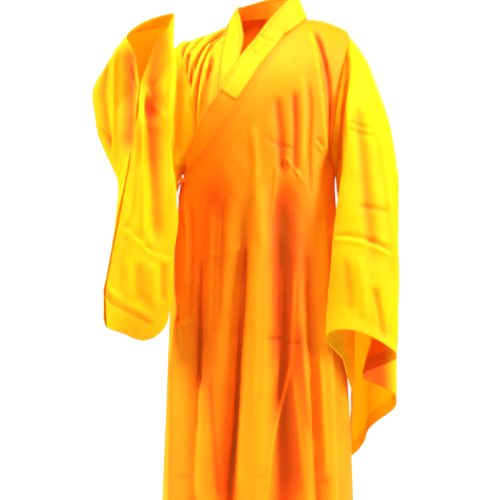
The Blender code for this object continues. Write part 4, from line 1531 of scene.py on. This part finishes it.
@dataclass
class Studio:
    """Plain floor, soft lights and the camera."""

    floor_height: float = -1.49
    floor_radius: float = 1.4
    floor_colour: tuple[float, float, float, float] = (0.86, 0.86, 0.86, 1.0)
    floor_roughness: float = 0.8
    camera_place: tuple[float, float, float] = (-0.0225, -4.0, -0.591)
    lens: float = 108.68
    sensor_width: float = 36.0
    surround: float = 0.12
    behind: float = 1.05

    def floor(self) -> bpy.types.Object:
        """Lay the pale floor.

        Returns:
            The floor.
        """
        shape = bmesh.new()
        bmesh.ops.create_circle(shape, cap_ends=True, segments=128, radius=self.floor_radius)
        bmesh.ops.translate(shape, vec=(0.0, 0.0, self.floor_height), verts=shape.verts)
        mesh = bpy.data.meshes.new("studio_floor")
        shape.to_mesh(mesh)
        shape.free()
        floor = bpy.data.objects.new("studio_floor", mesh)
        bpy.context.scene.collection.objects.link(floor)
        material = bpy.data.materials.new("pale floor")
        graph = Graph(material)
        coat = graph.node("ShaderNodeBsdfPrincipled", None,
                          {"Base Color": self.floor_colour, "Roughness": self.floor_roughness})
        graph.node("ShaderNodeOutputMaterial", None, {"Surface": coat})
        mesh.materials.append(material)
        return floor

    def light(self, lamp: Lamp) -> None:
        """Hang one light.

        Args:
            lamp: the light.
        """
        data = bpy.data.lights.new(lamp.name, "AREA")
        data.energy = lamp.power
        data.size = lamp.size
        hung = bpy.data.objects.new(lamp.name, data)
        hung.location = lamp.place
        way = Vector(lamp.aim) - Vector(lamp.place)
        hung.rotation_euler = way.to_track_quat("-Z", "Y").to_euler()
        bpy.context.scene.collection.objects.link(hung)

    def world(self) -> None:
        """Set a white background that lights the robe only weakly."""
        world = bpy.data.worlds.new("studio surround")
        bpy.context.scene.world = world
        graph = Graph(world)
        seen = graph.node("ShaderNodeLightPath", None, None, "Is Camera Ray")
        strength = graph.node("ShaderNodeMapRange", None, {0: seen, 3: self.surround, 4: self.behind})
        surround = graph.node("ShaderNodeBackground", None,
                              {"Color": (1.0, 1.0, 1.0, 1.0), "Strength": strength})
        graph.node("ShaderNodeOutputWorld", None, {"Surface": surround})

    def camera(self) -> None:
        """Set the camera level, straight in front of the robe."""
        data = bpy.data.cameras.new("photo camera")
        data.lens = self.lens
        data.sensor_width = self.sensor_width
        camera = bpy.data.objects.new("photo camera", data)
        camera.location = self.camera_place
        camera.rotation_euler = (math.pi / 2.0, 0.0, 0.0)
        bpy.context.scene.collection.objects.link(camera)
        bpy.context.scene.camera = camera

    def build(self) -> None:
        """Set up the whole studio."""
        self.floor()
        self.world()
        for lamp in LAMPS:
            self.light(lamp)
        self.camera()
        bpy.context.scene.view_settings.view_transform = "Standard"


# Lit and shaded copies of one saffron cloth, as painted light and shade: the body, band and tie in
# the darker copy, the under front and guard half lit, the sleeves painted brighter as if lit and
# shone through, with less painted shade on their level cloth. SAFFRON_DEEP is the painted shade of
# troughs.
SAFFRON_PAINTED_SHADED = (1.0, 0.29, 0.0, 1.0)
SAFFRON_PAINTED_LIT = (1.0, 0.66, 0.0, 1.0)
SAFFRON_PAINTED_HALF_LIT = (1.0, 0.44, 0.0, 1.0)
SLEEVE_PASSED = (1.0, 0.58, 0.0, 1.0)
SAFFRON_DEEP = (0.92, 0.045, 0.0, 1.0)

FINISHES = {
    "back_panel": ClothFinish("saffron back cloth", "saffron", SAFFRON_PAINTED_SHADED, SAFFRON_DEEP, 0.15,
                              stitches=(Stitch(1, 0.030),)),
    "front_outer": ClothFinish("saffron front cloth", "saffron", SAFFRON_PAINTED_SHADED, SAFFRON_DEEP, 0.10,
                               trough_shadow=1.0, stitches=(Stitch(1, 0.030), Stitch(0, 0.018))),
    "front_inner": ClothFinish("saffron under cloth", "saffron_inner", SAFFRON_PAINTED_HALF_LIT, SAFFRON_DEEP,
                               0.10, stitches=(Stitch(1, 0.030),)),
    "sleeve_right": ClothFinish("saffron right sleeve cloth", "saffron", SAFFRON_PAINTED_LIT, SAFFRON_DEEP,
                                0.44, passed=SLEEVE_PASSED, flat=0.02,
                                stitches=(Stitch(1, 0.037),)),
    "sleeve_left": ClothFinish("saffron left sleeve cloth", "saffron", SAFFRON_PAINTED_LIT, SAFFRON_DEEP,
                               0.44, passed=SLEEVE_PASSED, flat=0.02,
                               stitches=(Stitch(1, 0.037),)),
    "collar_band": ClothFinish("saffron band cloth", "saffron_band", SAFFRON_PAINTED_SHADED, SAFFRON_DEEP,
                               0.08, stitches=(Stitch(0, 0.010),)),
    "collar_guard": ClothFinish("saffron guard cloth", "saffron_band", SAFFRON_PAINTED_HALF_LIT, SAFFRON_DEEP,
                                0.05, stitches=(Stitch(0, 0.008),)),
    "tie_knot": ClothFinish("saffron tape cloth", "saffron_band", SAFFRON_PAINTED_SHADED, SAFFRON_DEEP, 0.05),
}
FINISHES["tie_tape_front"] = FINISHES["tie_tape_back"] = FINISHES["tie_knot"]


def dress(pieces: dict[str, bpy.types.Object]) -> None:
    """Args:
        pieces: each piece by the name of the CAD node that it stands for.
    """
    for node, piece in pieces.items():
        finish = FINISHES[node]
        made = bpy.data.materials.get(finish.name) or finish.make()
        piece.data.materials.append(made)
        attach(piece, "root")
        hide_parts(node)
        log.info("%s stands for %s, %d faces", piece.name, node, len(piece.data.polygons))


def main() -> None:
    """Build and dress the robe, set up the studio and keep the CAD boxes, hidden, in the scene."""
    logging.basicConfig(level=logging.INFO, format="%(name)s: %(message)s")
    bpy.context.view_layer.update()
    form = BodyForm()
    panels = Panels(form)
    pieces = panels.build()
    raised = Sleeve("robe_sleeve_raised", form, RAISED_SLEEVE, RAISED_FOLDS, RAISED_CREASES,
                    pull=0.040, left=False)
    hanging = Sleeve("robe_sleeve_hanging", form, HANGING_SLEEVE, HANGING_FOLDS, HANGING_CREASES,
                     pull=0.0, left=True)
    pieces["sleeve_right"] = raised.build()
    pieces["sleeve_left"] = hanging.build()
    pieces.update(CollarBand(form, panels).build())
    pieces.update(SideTie(form, panels).build())
    dress(pieces)
    Studio().build()


if __name__ == "__main__":
    main()
